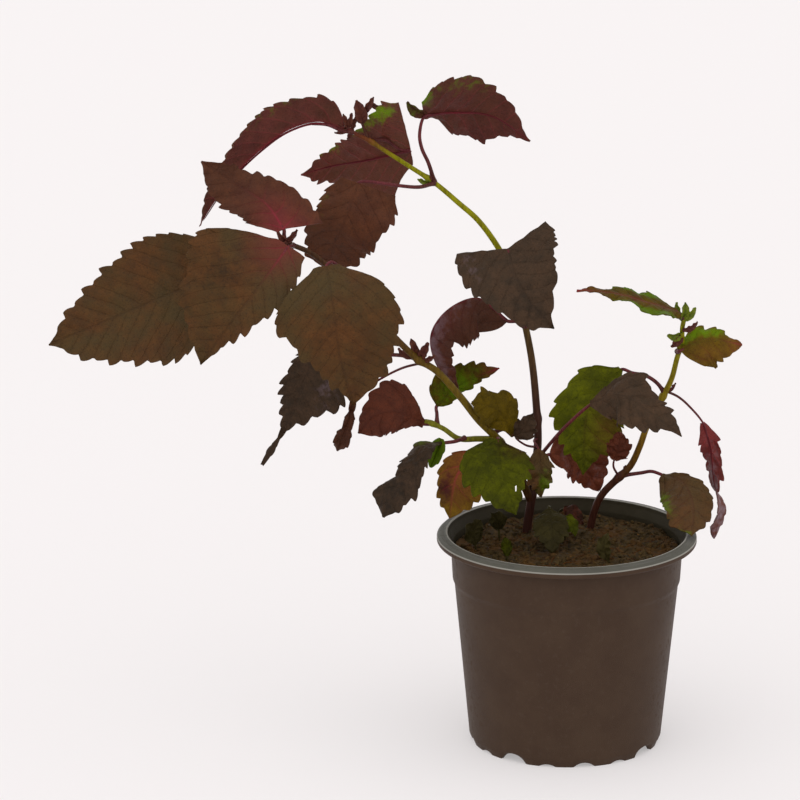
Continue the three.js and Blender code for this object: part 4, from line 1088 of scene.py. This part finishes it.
def makePot():
    bm = startPiece()
    wall, floor, top, pad = pot["wall"], pot["floor"], pot["height"], pot["pad"]
    foot, neck, shoulder, collar = pot["foot"], pot["neck"], pot["shoulder"], pot["collar"]
    mouth, lip, lipFoot, collarFoot = pot["mouth"], pot["lipRadius"], pot["lipFoot"], pot["collarFoot"]
    ring, neckTop = floor + wall, collarFoot - pot["neckDrop"]
    padEnd, footEnd = pad + pot["padSlope"], foot - pot["footInset"]
    inner = [
        (0, wall), (pad, wall), (padEnd, ring), (foot - wall, ring), (neck - wall, neckTop),
        (shoulder - wall, collarFoot), (collar - wall, lipFoot - 1),
    ]
    rolled = [
        (mouth, top - pot["bead"]), (mouth + 0.4, top), (mouth + 1.3, top), (mouth + 1.8, top - 0.4),
        (lip - 1.4, top - 0.5), (lip, top - pot["bead"]), (lip, lipFoot + 0.7), (lip - 0.7, lipFoot),
    ]
    outer = [(collar, lipFoot), (shoulder, collarFoot), (neck, neckTop), (foot + 0.15, floor), (foot, 3)]
    under = [
        (footEnd, 0), (footEnd - 1.4 * wall, 0), (foot - 1.5 * wall, floor), (padEnd, floor),
        (pad, 0), (0, 0),
    ]
    spinProfile(bm, inner + rolled + outer + under, pot["steps"], range(4, 20))
    for vertex in bm.verts:
        radius = math.hypot(vertex.co.x, vertex.co.y)
        if radius > pot["scallopsFrom"] and vertex.co.z < floor - 0.01:
            arch = archAt(math.atan2(vertex.co.x, -vertex.co.y))
            vertex.co.z = arch + vertex.co.z * (floor - arch) / floor
    bmesh.ops.recalc_face_normals(bm, faces=bm.faces[:])
    for face in bm.faces:
        face.material_index = plasticOf(face)
    materials = [makePlastic(*plastic) for plastic in pot["plastics"]]
    boreDrains(endPiece("potShell", bm, materials, "pot", "pot", 35))


makePot()

print("soil")
soil = {
    "top": 93, "edge": 51.4, "rings": 44, "steps": 200, "gap": 0.35, "foot": 1.5, "pad": 16.5,
    "padEnd": 19.8, "ring": 6.2, "crumbs": 1300, "fibres": 130, "specks": 26, "rust": "#5c3a18",
    "lump": 9, "lumpHeight": 1.6, "clod": 3.4, "clodHeight": 1.3, "sunk": 0.6,
    "peat": ("#332919", "#524127"), "crumb": ("#332919", "#564528"), "fibre": ("#3a2016", "#643b14"),
    "speck": ("#6b4a2c", "#a0702f"),
}


def soilHeight(x, y):
    place = Vector((x, y, 0))
    lumps = noise.fractal(place / soil["lump"], 1.0, 2.0, 4) * soil["lumpHeight"]
    clods = abs(noise.noise(place / soil["clod"])) * soil["clodHeight"]
    return soil["top"] + lumps + clods - soil["sunk"]


def makePeat(name, dark, light, size):
    material, tree, shader = newMaterial(name, 0.8, 0.06)
    place = objectPlace(tree)
    clouds = mottle(tree, place, size)
    grain = mottle(tree, place, size * 7, 5.0)
    colour = mixColours(tree, clouds, paint(dark), paint(light))
    rusty = scaled(tree, remap(tree, mottle(tree, place, 75.0), 0.35, 0.9), 0.4)
    colour = mixColours(tree, rusty, colour, paint(soil["rust"]))
    darker = darken(tree, colour, (0.72, 0.7, 0.68))
    tree.links.new(mixColours(tree, grain, darker, colour), shader.inputs["Base Color"])
    tree.links.new(scaled(tree, clouds, 0.3, 0.6), shader.inputs["Roughness"])
    addBump(tree, shader, grain, 0.3, 0.6)
    return material


def makeSoil():
    bm = startPiece()
    edge, top, ring = soil["edge"], soil["top"], soil["ring"]
    wallIn = pot["wall"] + soil["gap"]
    profile = [
        (0, soil["foot"]), (soil["pad"], soil["foot"]), (soil["padEnd"], ring), (pot["foot"] - wallIn, ring),
        (pot["neck"] - wallIn, pot["collarFoot"] - pot["neckDrop"]),
        (pot["shoulder"] - wallIn, pot["collarFoot"]),
    ]
    profile += [(edge * (1 - k / soil["rings"]), top) for k in range(soil["rings"] + 1)]
    spinProfile(bm, profile, soil["steps"])
    for vertex in bm.verts:
        if vertex.co.z > top - 0.5:
            vertex.co.z = soilHeight(vertex.co.x, vertex.co.y)
    bmesh.ops.recalc_face_normals(bm, faces=bm.faces[:])
    endPiece("soilBody", bm, [makePeat("peat", *soil["peat"], 300.0)], "soil", "soil", 180)


def spotOnSoil(draw, reach):
    angle, radius = draw.uniform(0, 2 * math.pi), reach * math.sqrt(draw.random())
    x, y = radius * math.cos(angle), radius * math.sin(angle)
    return Vector((x, y, soilHeight(x, y)))


def gather(whole, bm):
    # moves one mesh in the making into another
    mesh = toMesh("batch", bm)
    whole.from_mesh(mesh)
    bpy.data.meshes.remove(mesh)


def makeCrumbs(name, count, sizes, colours, seed):
    draw = random.Random(seed)
    whole, bm = startPiece(), startPiece()
    for k in range(count):
        if k % 50 == 49:    # a batch at a time, because each step takes longer in a large mesh
            gather(whole, bm)
            bm = startPiece()
        size = draw.uniform(*sizes) * draw.uniform(0.6, 1)
        spot = spotOnSoil(draw, soil["edge"] - size - 0.5)
        angle = draw.uniform(0, 6.28)
        turn = Matrix.Rotation(angle, 4, Vector((draw.uniform(-1, 1), draw.uniform(-1, 1), 1)))
        wide, deep = draw.uniform(0.7, 1.3), draw.uniform(0.6, 1.1)
        shape = Matrix.Diagonal((size * wide, size * deep, size * 0.7, 1))
        made = bmesh.ops.create_icosphere(bm, subdivisions=2 if size > 1 else 1, radius=1,
                                          matrix=Matrix.Translation(spot) @ turn @ shape)["verts"]
        for vertex in made:
            away = vertex.co - spot
            vertex.co = spot + away * (1 + 0.35 * noise.noise(vertex.co * (1.1 / size)))
    gather(whole, bm)
    endPiece(name, whole, [makePeat(name, *colours, 500.0)], "soil", None, 180)


def makeFibres():
    draw = random.Random(12)
    bm = startPiece()
    for k in range(soil["fibres"]):
        line = [spotOnSoil(draw, soil["edge"] - 6)]
        way = Vector((draw.uniform(-1, 1), draw.uniform(-1, 1), 0)).normalized()
        length = draw.uniform(3, 9)
        line[0].z -= 0.3
        for step in range(3):
            way = (way + Vector((draw.uniform(-0.5, 0.5), draw.uniform(-0.5, 0.5), 0))).normalized()
            spot = line[-1] + way * length / 3
            if math.hypot(spot.x, spot.y) > soil["edge"] - 1:
                way = -way
                spot = line[-1] + way * length / 3
            spot.z = soilHeight(spot.x, spot.y) + draw.uniform(0.0, 0.7)
            line.append(spot)
        thick = draw.uniform(0.1, 0.22)
        addTube(bm, line, (thick, thick), 4, 8, 0)
    endPiece("soilFibres", bm, [makePeat("fibre", *soil["fibre"], 200.0)], "soil", None, 180)


makeSoil()
makeCrumbs("soilCrumbs", soil["crumbs"], (0.5, 1.9), soil["crumb"], 3)
makeCrumbs("soilSpecks", soil["specks"], (0.4, 0.9), soil["speck"], 8)
makeFibres()
